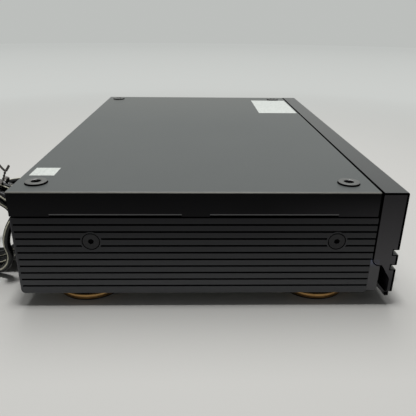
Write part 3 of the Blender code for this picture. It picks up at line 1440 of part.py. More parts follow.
def tray_door():
    """The strip of front panel that rides on the tray, with a thin ridge along its middle."""
    outline = [(-DOOR_HALF_WIDTH, up(DOOR_BOTTOM)), (DOOR_HALF_WIDTH, up(DOOR_BOTTOM))]
    outline += [(DOOR_HALF_WIDTH, up(DOOR_TOP)), (-DOOR_HALF_WIDTH, up(DOOR_TOP))]
    door = prism("Y", outline, back(0), back(FRONT_WALL))
    middle = up((DOOR_BOTTOM + DOOR_TOP) / 2)
    groove = box(
        (-DOOR_HALF_WIDTH - OVERRUN, DOOR_HALF_WIDTH + OVERRUN),
        (back(-OVERRUN), back(DOOR_RIDGE)),
        (middle - DOOR_RIDGE_HEIGHT / 2, middle + DOOR_RIDGE_HEIGHT / 2),
    )
    name_piece(cut(door, groove), "tray_door", "black_front_plastic", (0, back(0), middle))


def loader_frame():
    """Moulded cradle: two arched walls with tray channels, a gear shelf and a rear beam."""
    inner = TRAY_HALF_WIDTH + LOADER_CLEARANCE
    outer = inner + LOADER_WALL
    foot_z = up(PAN_BOTTOM) + PAN_SHEET + GAP
    front, rear = back(LOADER_FRONT), back(LOADER_REAR)
    wall = [
        (front, foot_z),
        (front + LOADER_LEG, foot_z),
        (front + LOADER_LEG + LOADER_ARCH_SLOPE, up(LOADER_ARCH)),
        (rear - LOADER_LEG - LOADER_ARCH_SLOPE, up(LOADER_ARCH)),
        (rear - LOADER_LEG, foot_z),
        (rear, foot_z),
        (rear, up(LOADER_TOP)),
        (front, up(LOADER_TOP)),
    ]
    wall = rounded(wall, {2: LOADER_ARCH_SLOPE, 3: LOADER_ARCH_SLOPE})
    frame = prism("X", wall, -outer, -inner)
    others = [prism("X", wall, inner, outer)]
    across = (-inner - GAP, inner + GAP)
    others.append(box(across, (front, back(SHELF_BACK)), (up(SHELF_BOTTOM), up(SHELF_TOP))))
    others.append(box(across, (rear - REAR_BEAM, rear), (up(REAR_BEAM_BOTTOM), up(REAR_BEAM_TOP))))
    for place in (loading_gear_centre(), pulley_centre()):
        others.append(rod("Z", place, POST_RADIUS, up(SHELF_BOTTOM) + GAP, up(GEAR_TOP), TINY))
    join(frame, *others)
    tools = []
    flange = TRAY_HALF_WIDTH + TRAY_FLANGE + LOADER_CLEARANCE
    for side in (-1, 1):
        low, high = sorted((side * (inner - OVERRUN), side * flange))
        tools.append(
            box(
                (low, high),
                (front - OVERRUN, rear + OVERRUN),
                (up(TRAY_FLANGE_BOTTOM) - LOADER_CLEARANCE, up(TRAY_FLANGE_TOP) + LOADER_CLEARANCE),
            )
        )
        low, high = sorted((side * (inner - OVERRUN), side * (outer + OVERRUN)))
        pivot = (back(DECK_PIVOT_DEPTH), up(DECK_BOTTOM) + DECK_SHEET / 2)
        tools.append(rod("X", pivot, DECK_PIN_RADIUS + GAP, low, high, SMALL))
    shelf_through = (up(SHELF_BOTTOM) - OVERRUN, up(SHELF_TOP) + OVERRUN)
    tools.append(rod("Z", motor_centre(), MOTOR_SHAFT * 2, *shelf_through, TINY))
    name_piece(cut(frame, *tools), "loader_frame", "inner_black_plastic")


def clamp_bridge():
    """Steel strap across the loader with turned-up edges and the clamp's hole."""
    half = TRAY_HALF_WIDTH + LOADER_CLEARANCE + LOADER_WALL
    middle = back(DISC_DEPTH)
    low = up(BRIDGE_BOTTOM)
    front, rear = middle - BRIDGE_HALF_DEPTH, middle + BRIDGE_HALF_DEPTH
    strap = box((-half, half), (front, rear), (low, low + BRIDGE_SHEET))
    rib_half = half - LOADER_WALL
    rib_heights = (low + BRIDGE_SHEET / 2, low + BRIDGE_SHEET + BRIDGE_RIB)
    ribs = []
    for start in (front, rear - BRIDGE_SHEET):
        ribs.append(box((-rib_half, rib_half), (start, start + BRIDGE_SHEET), rib_heights))
    join(strap, *ribs)
    hole = rod("Z", (0, middle), BRIDGE_HOLE, low - OVERRUN, low + BRIDGE_SHEET + OVERRUN, ROUND)
    name_piece(cut(strap, hole), "clamp_bridge", "zinc_steel")


def disc_clamp():
    """Round clamp that hangs in the bridge and turns with the disc."""
    bottom = up(TURNTABLE_TOP) + GAP
    cap = up(BRIDGE_BOTTOM) + BRIDGE_SHEET + GAP
    profile = [
        (0, bottom + CLAMP_RECESS_DEPTH),
        (CLAMP_RECESS, bottom + CLAMP_RECESS_DEPTH),
        (CLAMP_RECESS, bottom),
        (CLAMP_RADIUS, bottom),
        (CLAMP_RADIUS, bottom + CLAMP_THICKNESS / 2),
        (CLAMP_NECK, bottom + CLAMP_THICKNESS + CLAMP_RECESS_DEPTH / 2),
        (CLAMP_NECK, cap),
        (CLAMP_CAP_RADIUS, cap),
        (CLAMP_CAP_RADIUS, cap + CLAMP_CAP),
        (0, cap + CLAMP_CAP),
    ]
    centre = (0, back(DISC_DEPTH))
    name_piece(lathe("Z", centre, profile, ROUND), "disc_clamp", "inner_black_plastic", (*centre, cap))


# Deck, turntable and pickup


def mech_deck():
    """Tilting deck: plate with a turned-down rim, pivot pins, rod lugs and the pickup's window."""
    low, top = up(DECK_BOTTOM), up(DECK_BOTTOM) + DECK_SHEET
    outline = [
        (-DECK_HALF_WIDTH, back(DECK_FRONT)),
        (DECK_HALF_WIDTH, back(DECK_FRONT)),
        (DECK_HALF_WIDTH, back(DECK_BACK)),
        (-DECK_HALF_WIDTH, back(DECK_BACK)),
    ]
    deck = prism("Z", rounded(outline, {0: DECK_CORNER, 1: DECK_CORNER}), low, top)
    others = []
    rim_inner = DECK_HALF_WIDTH - DECK_RIM_WALL
    pin_end = TRAY_HALF_WIDTH + LOADER_CLEARANCE + DECK_PIN_REACH
    pin_line = (back(DECK_PIVOT_DEPTH), low + DECK_SHEET / 2)
    rim_depths = (back(DECK_FRONT) + DECK_CORNER, back(DECK_BACK))
    for side in (-1, 1):
        across = sorted((side * DECK_HALF_WIDTH, side * rim_inner))
        others.append(box(across, rim_depths, (low - DECK_RIM, low + GAP)))
        others.append(rod("X", pin_line, DECK_PIN_RADIUS, *sorted((side * rim_inner, side * pin_end)), TINY))
    lug_across = (-ROD_X - LUG_HALF, -ROD_X + LUG_HALF)
    lug_heights = (top - GAP, up(ROD_HEIGHT) + LUG_HALF)
    for start in (back(ROD_FRONT), back(ROD_BACK) - LUG_LENGTH):
        others.append(box(lug_across, (start, start + LUG_LENGTH), lug_heights))
    join(deck, *others)
    through = (low - OVERRUN, top + OVERRUN)
    window = (back(SLED_WINDOW_FRONT), back(SLED_WINDOW_BACK))
    tools = [box((-SLED_WINDOW_HALF, SLED_WINDOW_HALF), window, through)]
    tools.append(rod("Z", (0, back(DISC_DEPTH)), SPINDLE_RADIUS * 3, *through, TINY))
    tools.append(rod("Z", sled_gear_centre(), MOTOR_SHAFT * 2, *through, TINY))
    bore = (back(ROD_FRONT) - OVERRUN, back(ROD_BACK) + OVERRUN)
    tools.append(rod("Y", (-ROD_X, up(ROD_HEIGHT)), ROD_RADIUS + GAP, *bore, TINY))
    pivot = (0, back(DECK_PIVOT_DEPTH), low + DECK_SHEET / 2)
    name_piece(cut(deck, *tools), "mech_deck", "grey_mechanism", pivot)


def turntable():
    """Small platter with a centring cone, a hub and its spindle."""
    top = up(TURNTABLE_TOP)
    deck_top = up(DECK_BOTTOM) + DECK_SHEET
    profile = [
        (0, top + TURNTABLE_CONE_HEIGHT),
        (TURNTABLE_CONE_TOP, top + TURNTABLE_CONE_HEIGHT),
        (TURNTABLE_CONE, top),
        (TURNTABLE_RADIUS, top),
        (TURNTABLE_RADIUS, top - TURNTABLE_PLATE),
        (TURNTABLE_HUB, top - TURNTABLE_PLATE),
        (TURNTABLE_HUB, deck_top + 2 * GAP),
        (SPINDLE_RADIUS, deck_top + 2 * GAP),
        (SPINDLE_RADIUS, up(DECK_BOTTOM) - SPINDLE_MOTOR_HEIGHT / 2),
        (0, up(DECK_BOTTOM) - SPINDLE_MOTOR_HEIGHT / 2),
    ]
    centre = (0, back(DISC_DEPTH))
    name_piece(lathe("Z", centre, profile, ROUND), "turntable", "grey_mechanism", (*centre, top))


def spindle_motor():
    """Flat motor under the deck with a bore for the spindle."""
    top = up(DECK_BOTTOM) - GAP
    bottom = top - SPINDLE_MOTOR_HEIGHT
    bore = SPINDLE_RADIUS + GAP
    profile = [
        (0, bottom),
        (SPINDLE_MOTOR_RADIUS - SPINDLE_RADIUS, bottom),
        (SPINDLE_MOTOR_RADIUS, bottom + SPINDLE_RADIUS),
        (SPINDLE_MOTOR_RADIUS, top),
        (bore, top),
        (bore, bottom + SPINDLE_MOTOR_HEIGHT / 3),
        (0, bottom + SPINDLE_MOTOR_HEIGHT / 3),
    ]
    name_piece(lathe("Z", (0, back(DISC_DEPTH)), profile, SMALL), "spindle_motor", "motor_steel")


def sled_gear_centre():
    return (SLED_RACK_LINE + MODULE * SLED_TEETH / 2, back(SLED_GEAR_DEPTH))


def pickup_sled():
    """Optical pickup: body, bearing bracket on the guide rod, drive rack and the lens in its ring."""
    front, rear = back(SLED_FRONT), back(SLED_FRONT + SLED_LENGTH)
    middle = back(SLED_FRONT + SLED_LENGTH / 2)
    bottom, top = up(SLED_BOTTOM), up(SLED_TOP)
    body = [(-SLED_LEFT, front), (SLED_RIGHT, front), (SLED_RIGHT, rear), (-SLED_LEFT, rear)]
    sled = prism("Z", rounded(body, dict.fromkeys(range(4), SLED_CORNER), 2), bottom, top)
    bracket_depths = (front + BRACKET_INSET, rear - BRACKET_INSET)
    bracket = box((-SLED_BRACKET, -SLED_LEFT + GAP), bracket_depths, (bottom, top))
    teeth_start = back(SLED_GEAR_DEPTH - SLED_TRAVEL) - SLED_RACK_SPARE
    teeth_end = back(SLED_GEAR_DEPTH) + SLED_RACK_SPARE
    rack = rack_outline(SLED_RACK_BACK, SLED_RACK_LINE, 1, teeth_start, teeth_end, back(SLED_GEAR_DEPTH))
    toothed = prism("Z", rack, bottom + GAP, up(SLED_GEAR_TOP) - GAP)
    lens = lathe(
        "Z",
        (0, middle),
        [
            (0, top - LENS_HEIGHT),
            (LENS_RING_RADIUS, top - LENS_HEIGHT),
            (LENS_RING_RADIUS, top + LENS_HEIGHT / 2),
            (LENS_RADIUS, top + LENS_HEIGHT / 2),
            (LENS_RADIUS / 2, top + LENS_HEIGHT),
            (0, top + LENS_HEIGHT),
        ],
        SMALL,
    )
    join(sled, bracket, toothed, lens)
    bore = rod("Y", (-ROD_X, up(ROD_HEIGHT)), ROD_RADIUS + GAP, front - OVERRUN, rear + OVERRUN, TINY)
    name_piece(cut(sled, bore), "pickup_sled", "grey_mechanism", (0, middle, bottom))


def guide_rod():
    line = (-ROD_X, up(ROD_HEIGHT))
    name_piece(rod("Y", line, ROD_RADIUS, back(ROD_FRONT), back(ROD_BACK), TINY), "guide_rod", "motor_steel")


def sled_gear():
    """Pinion on the sled motor's shaft, in mesh with the pickup's rack."""
    centre = sled_gear_centre()
    turn = math.pi - math.pi / SLED_TEETH
    wheel = prism("Z", gear_outline(centre, SLED_TEETH, turn), up(SLED_GEAR_BOTTOM), up(SLED_GEAR_TOP))
    bore = rod("Z", centre, MOTOR_SHAFT + GAP, up(DECK_BOTTOM), up(SLED_GEAR_TOP) + OVERRUN, TINY)
    name_piece(cut(wheel, bore), "sled_gear", "white_gear", (*centre, up(SLED_GEAR_BOTTOM)))


# Electronics and rear sockets


def power_transformer():
    """Laminated core with its winding bulging out front and rear, on a mounting foot."""
    x, y = TRANSFORMER_X, back(TRANSFORMER_DEPTH)
    low = up(PAN_BOTTOM) + PAN_SHEET + GAP
    core = prism(
        "Y",
        rectangle(x, low + CORE_HEIGHT / 2, CORE_HALF_WIDTH, CORE_HEIGHT / 2),
        y - CORE_HALF_DEPTH,
        y + CORE_HALF_DEPTH,
    )
    middle = low + CORE_HEIGHT / 2
    winding = prism(
        "Z",
        rectangle(x, y, COIL_HALF_WIDTH, CORE_HALF_DEPTH + COIL_BULGE, COIL_MARGIN),
        middle - CORE_HEIGHT / 2 + COIL_MARGIN,
        middle + CORE_HEIGHT / 2 - COIL_MARGIN,
    )
    foot_plate = box(
        (x - CORE_HALF_WIDTH - CORE_FOOT, x + CORE_HALF_WIDTH + CORE_FOOT),
        (y - CORE_HALF_DEPTH + CORE_FOOT_SHEET, y + CORE_HALF_DEPTH - CORE_FOOT_SHEET),
        (low, low + CORE_FOOT_SHEET),
    )
    name_piece(join(core, winding, foot_plate), "power_transformer", "core_steel")


def board_place(across, along):
    """A place on the board, given as shares of its width and depth."""
    x = BOARD_LEFT + across * (BOARD_RIGHT - BOARD_LEFT)
    return (x, back(BOARD_FRONT + along * (BOARD_BACK - BOARD_FRONT)))


def main_board():
    """Circuit board with its capacitors and chips standing on it."""
    low = up(BOARD_HEIGHT)
    top = low + BOARD_SHEET
    board = box((BOARD_LEFT, BOARD_RIGHT), (back(BOARD_FRONT), back(BOARD_BACK)), (low, top))
    cans = [
        (BIG_CAN_SHARES, BIG_CAN_RADIUS, BIG_CAN_HEIGHT),
        (MIDDLE_CAN_SHARES, MIDDLE_CAN_RADIUS, MIDDLE_CAN_HEIGHT),
        (SMALL_CAN_SHARES, SMALL_CAN_RADIUS, SMALL_CAN_HEIGHT),
    ]
    chips = [
        (SQUARE_CHIP_SHARES, SQUARE_CHIP_HALF, SQUARE_CHIP_HALF, SQUARE_CHIP_HEIGHT),
        (LONG_CHIP_SHARES, LONG_CHIP_HALF_WIDTH, LONG_CHIP_HALF_DEPTH, LONG_CHIP_HEIGHT),
    ]
    parts = []
    for places, radius, tall in cans:
        for place in places:
            parts.append(rod("Z", board_place(*place), radius, top - GAP, top + tall, TINY))
    for places, half_x, half_y, tall in chips:
        for place in places:
            x, y = board_place(*place)
            parts.append(box((x - half_x, x + half_x), (y - half_y, y + half_y), (top - GAP, top + tall)))
    name_piece(join(board, *parts), "main_board", "board_green")


def line_out_jacks():
    """Pair of line sockets in one moulded block, their barrels standing out of the rear."""
    base = up(BOARD_HEIGHT + BOARD_SHEET) + GAP
    rear = back(BODY_DEPTH - REAR_SHEET_INSET)
    middle = sum(JACK_XS) / len(JACK_XS)
    block = box(
        (middle - JACK_BLOCK_HALF, middle + JACK_BLOCK_HALF),
        (back(JACK_BLOCK_FRONT), rear - PAN_SHEET - GAP),
        (base, up(JACK_BLOCK_TOP)),
    )
    tip = back(BODY_DEPTH + JACK_REACH)
    barrels, holes = [], []
    for x in JACK_XS:
        profile = [
            (0, rear - PAN_SHEET - 2 * GAP),
            (JACK_COLLAR, rear - PAN_SHEET - 2 * GAP),
            (JACK_COLLAR, rear + JACK_COLLAR_REACH),
            (JACK_BARREL, rear + JACK_COLLAR_REACH),
            (JACK_BARREL, tip),
            (0, tip),
        ]
        barrels.append(lathe("Y", (x, up(JACK_HEIGHT)), profile, SMALL))
        holes.append(rod("Y", (x, up(JACK_HEIGHT)), JACK_PIN_HOLE, tip - JACK_PIN_DEPTH, tip + OVERRUN, TINY))
    name_piece(cut(join(block, *barrels), *holes), "line_out_jacks", "inner_black_plastic")


def optical_jack():
    """Optical output with its square shutter set in the face."""
    base = up(BOARD_HEIGHT + BOARD_SHEET) + GAP
    face = back(BODY_DEPTH - REAR_SHEET_INSET) + OPTICAL_FACE
    middle = base + OPTICAL_HALF
    block = box(
        (OPTICAL_X - OPTICAL_HALF, OPTICAL_X + OPTICAL_HALF),
        (back(OPTICAL_BLOCK_FRONT), face),
        (base, base + 2 * OPTICAL_HALF),
    )
    shutter = prism(
        "Y",
        rectangle(OPTICAL_X, middle, OPTICAL_DOOR_HALF, OPTICAL_DOOR_HALF),
        face - OPTICAL_DOOR_INSET,
        face + OVERRUN,
    )
    name_piece(cut(block, shutter), "optical_jack", "inner_black_plastic")


# Mains lead


def strain_relief():
    """Tapered bush: snap flanges each side of the rear sheet and a ringed tail."""
    rear = back(BODY_DEPTH - REAR_SHEET_INSET)
    inside = rear - PAN_SHEET - GAP
    outside = rear + GAP
    profile = [
        (0, inside - RELIEF_FLANGE_THICKNESS),
        (RELIEF_WAIST + GAP * 4, inside - RELIEF_FLANGE_THICKNESS),
        (RELIEF_WAIST + GAP * 4, inside),
        (RELIEF_WAIST, inside),
        (RELIEF_WAIST, outside),
        (RELIEF_FLANGE, outside),
        (RELIEF_FLANGE, outside + RELIEF_FLANGE_THICKNESS),
    ]
    start = outside + RELIEF_FLANGE_THICKNESS
    step = (RELIEF_LENGTH - RELIEF_FLANGE_THICKNESS) / (RELIEF_RINGS * 2 + 1)
    for number in range(RELIEF_RINGS * 2 + 1):
        share = number / (RELIEF_RINGS * 2)
        radius = RELIEF_ROOT + (RELIEF_TIP - RELIEF_ROOT) * share
        radius -= RELIEF_RING_DEPTH if number % 2 else 0
        profile.append((radius, start + number * step))
        profile.append((radius, start + (number + 1) * step))
    profile.append((0, outside + RELIEF_LENGTH))
    name_piece(lathe("Y", (RELIEF_X, up(RELIEF_HEIGHT)), profile, TINY), "strain_relief", "black_lead")


def coil_pitch():
    return CORD_DIAMETER + COIL_SPACING


def coil_centre():
    return (back(BODY_DEPTH) + COIL_STAND_OFF + COIL_OUTSIDE / 2, COIL_OUTSIDE / 2 + FLOOR_SKIN)


def coil_layer_x(layer):
    return COIL_X + (layer - (COIL_LAYERS - 1) / 2) * coil_pitch()


def coil_points():
    """The wound turns: each layer spirals in or out, and the cord climbs a layer at each reversal."""
    outer = (COIL_OUTSIDE - CORD_DIAMETER) / 2
    centre = coil_centre()
    steps = round(COIL_LAYERS * COIL_TURNS_PER_LAYER * COIL_POINTS)
    points = []
    for step in range(COIL_START, steps + 1):
        turns = step / COIL_POINTS
        phase = turns / COIL_TURNS_PER_LAYER
        fold = phase % 2
        inward = (fold if fold < 1 else 2 - fold) * COIL_TURNS_PER_LAYER * coil_pitch()
        border = max(1, min(COIL_LAYERS - 1, round(phase)))
        climb = (turns - border * COIL_TURNS_PER_LAYER) / 0.5 + 0.5
        layer = border - 1 + max(0, min(1, climb))
        angle = -math.pi / 2 + 2 * math.pi * turns
        radius = outer - inward
        points.append(
            Vector(
                (
                    coil_layer_x(layer),
                    centre[0] + radius * math.cos(angle),
                    centre[1] + radius * math.sin(angle),
                )
            )
        )
    return points


def tail_points():
    """Past the last turn: a short run and a quarter turn over the floor, then straight into the plug."""
    x = coil_layer_x(COIL_LAYERS - 1)
    y, z = coil_centre()[0] + TAIL_RUN, CORD_DIAMETER / 2 + FLOOR_SKIN
    turn = [
        Vector((x + TAIL_RADIUS - TAIL_RADIUS * math.cos(a), y + TAIL_RADIUS * math.sin(a), z))
        for a in (math.pi / 2 * step / 6 for step in range(7))
    ]
    return turn + [turn[-1] + Vector((CORD_DIAMETER, 0, 0))]


def least_gap(points, diameter):
    """The least gap between stretches of the tube that aren't neighbours along it."""
    lengths = [0]
    for first, second in zip(points, points[1:]):
        lengths.append(lengths[-1] + (second - first).length)
    least = math.inf
    for i, first in enumerate(points):
        for j in range(i + 1, len(points)):
            if lengths[j] - lengths[i] > 4 * diameter:
                least = min(least, (points[j] - first).length)
    return least - diameter


def line_length(points):
    return sum((second - first).length for first, second in zip(points, points[1:]))


def cord_coil():
    """Seven tied turns standing behind the rear sheet, one unbroken tube with its tail."""
    wound = coil_points()
    points = [wound[0] - Vector((0, 0, CORD_DIAMETER))] + wound + tail_points()
    print("coil: least gap to itself", round(least_gap(points, CORD_DIAMETER) * 1000, 2), "mm")
    print("coil: length of cord", round(line_length(points), 3), "m")
    name_piece(tube(points, CORD_DIAMETER, 6), "cord_coil", "black_lead", sharp=RIDGE)


def smooth_line(places, spacing):
    """Evenly spaced points on a smooth curve; its first and last places only set the directions."""
    fine = []
    for a, b, c, d in zip(places, places[1:], places[2:], places[3:]):
        for step in range(COIL_POINTS):
            t = step / COIL_POINTS
            bend = (2 * a - 5 * b + 4 * c - d) * t**2 + (3 * b - a - 3 * c + d) * t**3
            fine.append((2 * b + (c - a) * t + bend) / 2)
    fine.append(places[-2])
    reach = [0]
    for first, second in zip(fine, fine[1:]):
        reach.append(reach[-1] + (second - first).length)
    count = round(reach[-1] / spacing)
    points, at = [], 0
    for step in range(count + 1):
        wanted = reach[-1] * step / count
        while at < len(reach) - 2 and reach[at + 1] < wanted:
            at += 1
        share = (wanted - reach[at]) / (reach[at + 1] - reach[at])
        points.append(fine[at].lerp(fine[at + 1], share))
    return points


def power_cord():
    """Free stretch: out of the strain relief, round behind the case and under the coil to its start."""
    exit_y = back(BODY_DEPTH - REAR_SHEET_INSET) + 2 * GAP + RELIEF_LENGTH
    first = Vector((RELIEF_X, exit_y, up(RELIEF_HEIGHT)))
    last = coil_points()[0] - Vector((0, 0, CORD_DIAMETER + GAP))
    places = [first, first + Vector((0, CORD_DIAMETER, 0))]
    places += [Vector((x, back(depth), up(height))) for x, depth, height in CORD_ROUTE]
    places += [last - Vector((0, 0, CORD_DIAMETER)), last]
    points = [first] + smooth_line(places, CORD_STEP * CORD_DIAMETER) + [last]
    print("free stretch: length of cord", round(line_length(points), 3), "m")
    name_piece(tube(points, CORD_DIAMETER, 8), "power_cord", "black_lead", sharp=RIDGE)


def plug_section(x, half_y, half_z, middle_y, middle_z):
    corner = min(half_y, half_z) * PLUG_CORNER_SHARE
    return [Vector((x, y, z)) for y, z in rectangle(middle_y, middle_z, half_y, half_z, corner)]


def plug_halves(shares):
    return (PLUG_HALF_WIDTH * shares[0], PLUG_HALF_HEIGHT * shares[1])


def mains_plug():
    """Two-blade plug: a neck round the cord that swells into the grip, and two flat blades."""
    end = tail_points()[-1]
    start = end.x + GAP
    low = PLUG_HALF_HEIGHT + FLOOR_SKIN
    shoulder = start + PLUG_NECK_LENGTH
    face = shoulder + PLUG_LENGTH
    neck_z = end.z + (PLUG_NECK - CORD_DIAMETER / 2)
    rings = [
        plug_section(start, PLUG_NECK, PLUG_NECK, end.y, neck_z),
        plug_section(shoulder - GAP, PLUG_NECK, PLUG_NECK, end.y, neck_z),
        plug_section(shoulder + PLUG_NECK, *plug_halves(PLUG_THROAT_SHARES), end.y, low),
        plug_section((shoulder + face) / 2, *plug_halves(PLUG_WAIST_SHARES), end.y, low),
        plug_section(face - PLUG_NECK, PLUG_HALF_WIDTH, PLUG_HALF_HEIGHT, end.y, low),
        plug_section(face, PLUG_HALF_WIDTH, PLUG_HALF_HEIGHT, end.y, low),
    ]
    plug = loft(rings)
    blades = []
    for side in (-1, 1):
        y = end.y + side * BLADE_SPACING / 2
        blades.append(
            box(
                (face - PLUG_NECK, face + BLADE_LENGTH),
                (y - BLADE_HALF_THICKNESS, y + BLADE_HALF_THICKNESS),
                (low - BLADE_HALF_HEIGHT, low + BLADE_HALF_HEIGHT),
            )
        )
    name_piece(join(plug, *blades), "mains_plug", "black_lead")


def twist_tie():
    """Flat tie round the coil, its twisted stem and two loose ends standing up like a Y."""
    centre_y, centre_z = coil_centre()
    depth = COIL_TURNS_PER_LAYER * coil_pitch()
    middle_radius = COIL_OUTSIDE / 2 - CORD_DIAMETER / 2 - depth / 2
    half_radial = (depth + CORD_DIAMETER) / 2 + GAP
    half_axial = (COIL_LAYERS - 1) * coil_pitch() / 2 + CORD_DIAMETER / 2 + GAP
    outer_halves = (half_axial + TIE_THICKNESS, half_radial + TIE_THICKNESS)
    outer = rectangle(COIL_X, middle_radius, *outer_halves, TIE_THICKNESS)
    band = prism("Y", outer, -TIE_HALF_WIDTH, TIE_HALF_WIDTH)
    cut(band, prism("Y", rectangle(COIL_X, middle_radius, half_axial, half_radial), -OVERRUN, OVERRUN))
    top = middle_radius + half_radial + TIE_THICKNESS / 2
    neck = TIE_STEM
    half = TIE_THICKNESS
    stem = [
        (-half, -half),
        (half, -half),
        (half, neck),
        (half + TIE_ARM_SPREAD, neck + TIE_ARM),
        (TIE_ARM_SPREAD - half, neck + TIE_ARM + half),
        (0, neck + half * 2),
        (half - TIE_ARM_SPREAD, neck + TIE_ARM + half),
        (-half - TIE_ARM_SPREAD, neck + TIE_ARM),
        (-half, neck),
    ]
    twisted = prism("X", stem, COIL_X - TIE_THICKNESS, COIL_X + TIE_THICKNESS)
    twisted.data.transform(Matrix.Translation((0, 0, top)) @ Matrix.Rotation(math.pi / 2 - TIE_ANGLE, 4, "X"))
    join(band, twisted)
    turn = Matrix.Rotation(TIE_ANGLE - math.pi / 2, 4, "X")
    band.data.transform(Matrix.Translation((0, centre_y, centre_z)) @ turn)
    name_piece(band, "twist_tie", "black_lead")


def clear_scene():
    for thing in list(bpy.data.objects):
        bpy.data.objects.remove(thing, do_unlink=True)


def build():
    clear_scene()
    front_panel()
    display_window()
    display_tube()
    front_frame()
    for name, sizes in button_places().items():
        push_button(name, *sizes)
    level_knob()
    phones_jack()
    top_cover()
    corners = ("front_left", "rear_left", "front_right", "rear_right")
    for corner, place in zip(corners, top_screw_places()):
        top_screw(f"top_screw_{corner}", *place)
    for side, word in ((-1, "left"), (1, "right")):
        side_panel(f"side_panel_{word}", side)
        for depth, end in zip(SIDE_SCREW_DEPTHS, ("front", "rear")):
            side_screw(f"side_screw_{end}_{word}", side, depth)
    base_pan()
    rear_panel()
    for corner, place in zip(corners, foot_places()):
        foot(f"foot_{corner}", *place)
        foot_ring(f"foot_ring_{corner}", *place)
    disc_tray()
    tray_door()
    loader_frame()
    loading_gear()
    pulley_gear()
    motor_pulley()
    loading_belt()
    motor(
        "loading_motor",
        motor_centre(),
        MOTOR_RADIUS,
        up(SHELF_BOTTOM) - GAP,
        MOTOR_BODY,
        up(PULLEY_TOP),
        MOTOR_SHAFT,
    )
    clamp_bridge()
    disc_clamp()
    mech_deck()
    turntable()
    spindle_motor()
    pickup_sled()
    guide_rod()
    sled_gear()
    motor(
        "sled_motor",
        sled_gear_centre(),
        SLED_MOTOR_RADIUS,
        up(DECK_BOTTOM) - GAP,
        SLED_MOTOR_HEIGHT,
        up(SLED_GEAR_TOP),
        MOTOR_SHAFT,
    )
    power_transformer()
    main_board()
    line_out_jacks()
    optical_jack()
    strain_relief()
    power_cord()
    cord_coil()
    mains_plug()
    twist_tie()


build()
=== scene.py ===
# %% [markdown]
# A compact disc player, dressed for its picture
#
# The construction of the player comes packed: every rigid part at its real size, in metres, with
# the front facing -Y and +Z up. This script never moves those parts. It gives each one its finish,
# adds what only the eye needs, and sets up the camera, the floor and the light.
#
# The frame is loaded first, because every place below is worked out from it.

# %% Load the packed parts
import json
import math

import bmesh
import bpy
from mathutils import Matrix, Vector


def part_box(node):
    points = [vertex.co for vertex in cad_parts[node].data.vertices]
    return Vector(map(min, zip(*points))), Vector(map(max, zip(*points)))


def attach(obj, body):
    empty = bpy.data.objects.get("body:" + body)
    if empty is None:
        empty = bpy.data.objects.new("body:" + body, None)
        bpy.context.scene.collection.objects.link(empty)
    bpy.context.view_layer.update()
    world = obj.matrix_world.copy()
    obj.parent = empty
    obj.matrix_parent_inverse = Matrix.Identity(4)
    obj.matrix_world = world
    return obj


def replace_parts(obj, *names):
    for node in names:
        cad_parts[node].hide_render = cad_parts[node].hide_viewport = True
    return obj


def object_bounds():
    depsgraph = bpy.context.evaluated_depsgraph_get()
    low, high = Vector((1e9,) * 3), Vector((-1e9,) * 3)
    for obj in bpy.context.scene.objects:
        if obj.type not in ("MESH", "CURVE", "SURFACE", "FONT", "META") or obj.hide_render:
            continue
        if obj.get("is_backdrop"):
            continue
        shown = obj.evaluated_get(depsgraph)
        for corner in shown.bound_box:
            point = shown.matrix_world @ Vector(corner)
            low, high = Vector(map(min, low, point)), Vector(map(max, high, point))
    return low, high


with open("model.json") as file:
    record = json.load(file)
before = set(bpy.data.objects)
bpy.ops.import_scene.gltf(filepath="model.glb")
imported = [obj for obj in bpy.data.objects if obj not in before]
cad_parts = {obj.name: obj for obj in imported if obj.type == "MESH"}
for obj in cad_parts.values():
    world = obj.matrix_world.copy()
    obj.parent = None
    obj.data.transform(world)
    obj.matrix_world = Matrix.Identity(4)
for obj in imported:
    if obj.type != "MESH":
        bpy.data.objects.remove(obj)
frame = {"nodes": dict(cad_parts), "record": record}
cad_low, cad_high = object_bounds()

MM = 0.001
record = frame["record"]
print("parts in the frame:", len(frame["nodes"]))

# %% [markdown]
# The camera is matched to the photograph before anything is dressed. A camera in Blender looks
# along its own -Z with +Y up, so its matrix is built from three directions at right angles: where
# it looks, what is right and what is up, with a small roll about the line of sight.

# %% The camera of the photograph
CAMERA_PLACE = (-0.52132, 0.00976, 0.21087)
CAMERA_LENS = 39.5
CAMERA_YAW = math.radians(-1.371)
CAMERA_DOWN = math.radians(22.493)
CAMERA_ROLL = math.radians(0.581)
NEAREST_SEEN = 10 * MM


def camera_matrix():
    """The camera's place and turn in the player's frame."""
    level = Vector((math.cos(CAMERA_YAW), math.sin(CAMERA_YAW), 0)) * math.cos(CAMERA_DOWN)
    forward = level - Vector((0, 0, math.sin(CAMERA_DOWN)))
    right = forward.cross(Vector((0, 0, 1))).normalized()
    top = right.cross(forward)
    rolled_right = right * math.cos(CAMERA_ROLL) + top * math.sin(CAMERA_ROLL)
    rolled_top = top * math.cos(CAMERA_ROLL) - right * math.sin(CAMERA_ROLL)
    turn = Matrix((rolled_right, rolled_top, -forward)).transposed()
    return Matrix.Translation(CAMERA_PLACE) @ turn.to_4x4()


def add_object(name, data):
    """A new object of that data in the scene, at the origin."""
    thing = bpy.data.objects.new(name, data)
    bpy.context.scene.collection.objects.link(thing)
    return thing


camera = add_object("camera", bpy.data.cameras.new("camera"))
camera.data.lens = CAMERA_LENS
camera.data.clip_start = NEAREST_SEEN
camera.matrix_world = camera_matrix()
bpy.context.scene.camera = camera
bpy.context.scene.view_settings.view_transform = "Standard"
print("camera at", CAMERA_PLACE, "with a lens of", CAMERA_LENS, "mm")

# %% [markdown]
# Finishes are written as sums. A wrapped socket lets `1 - mask * 0.3` add the Math nodes that such
# a line needs, so a material reads like the recipe that it is. Python looks for a method behind
# each operator, and one function makes all of those methods.

# %% A socket that Python can reckon with


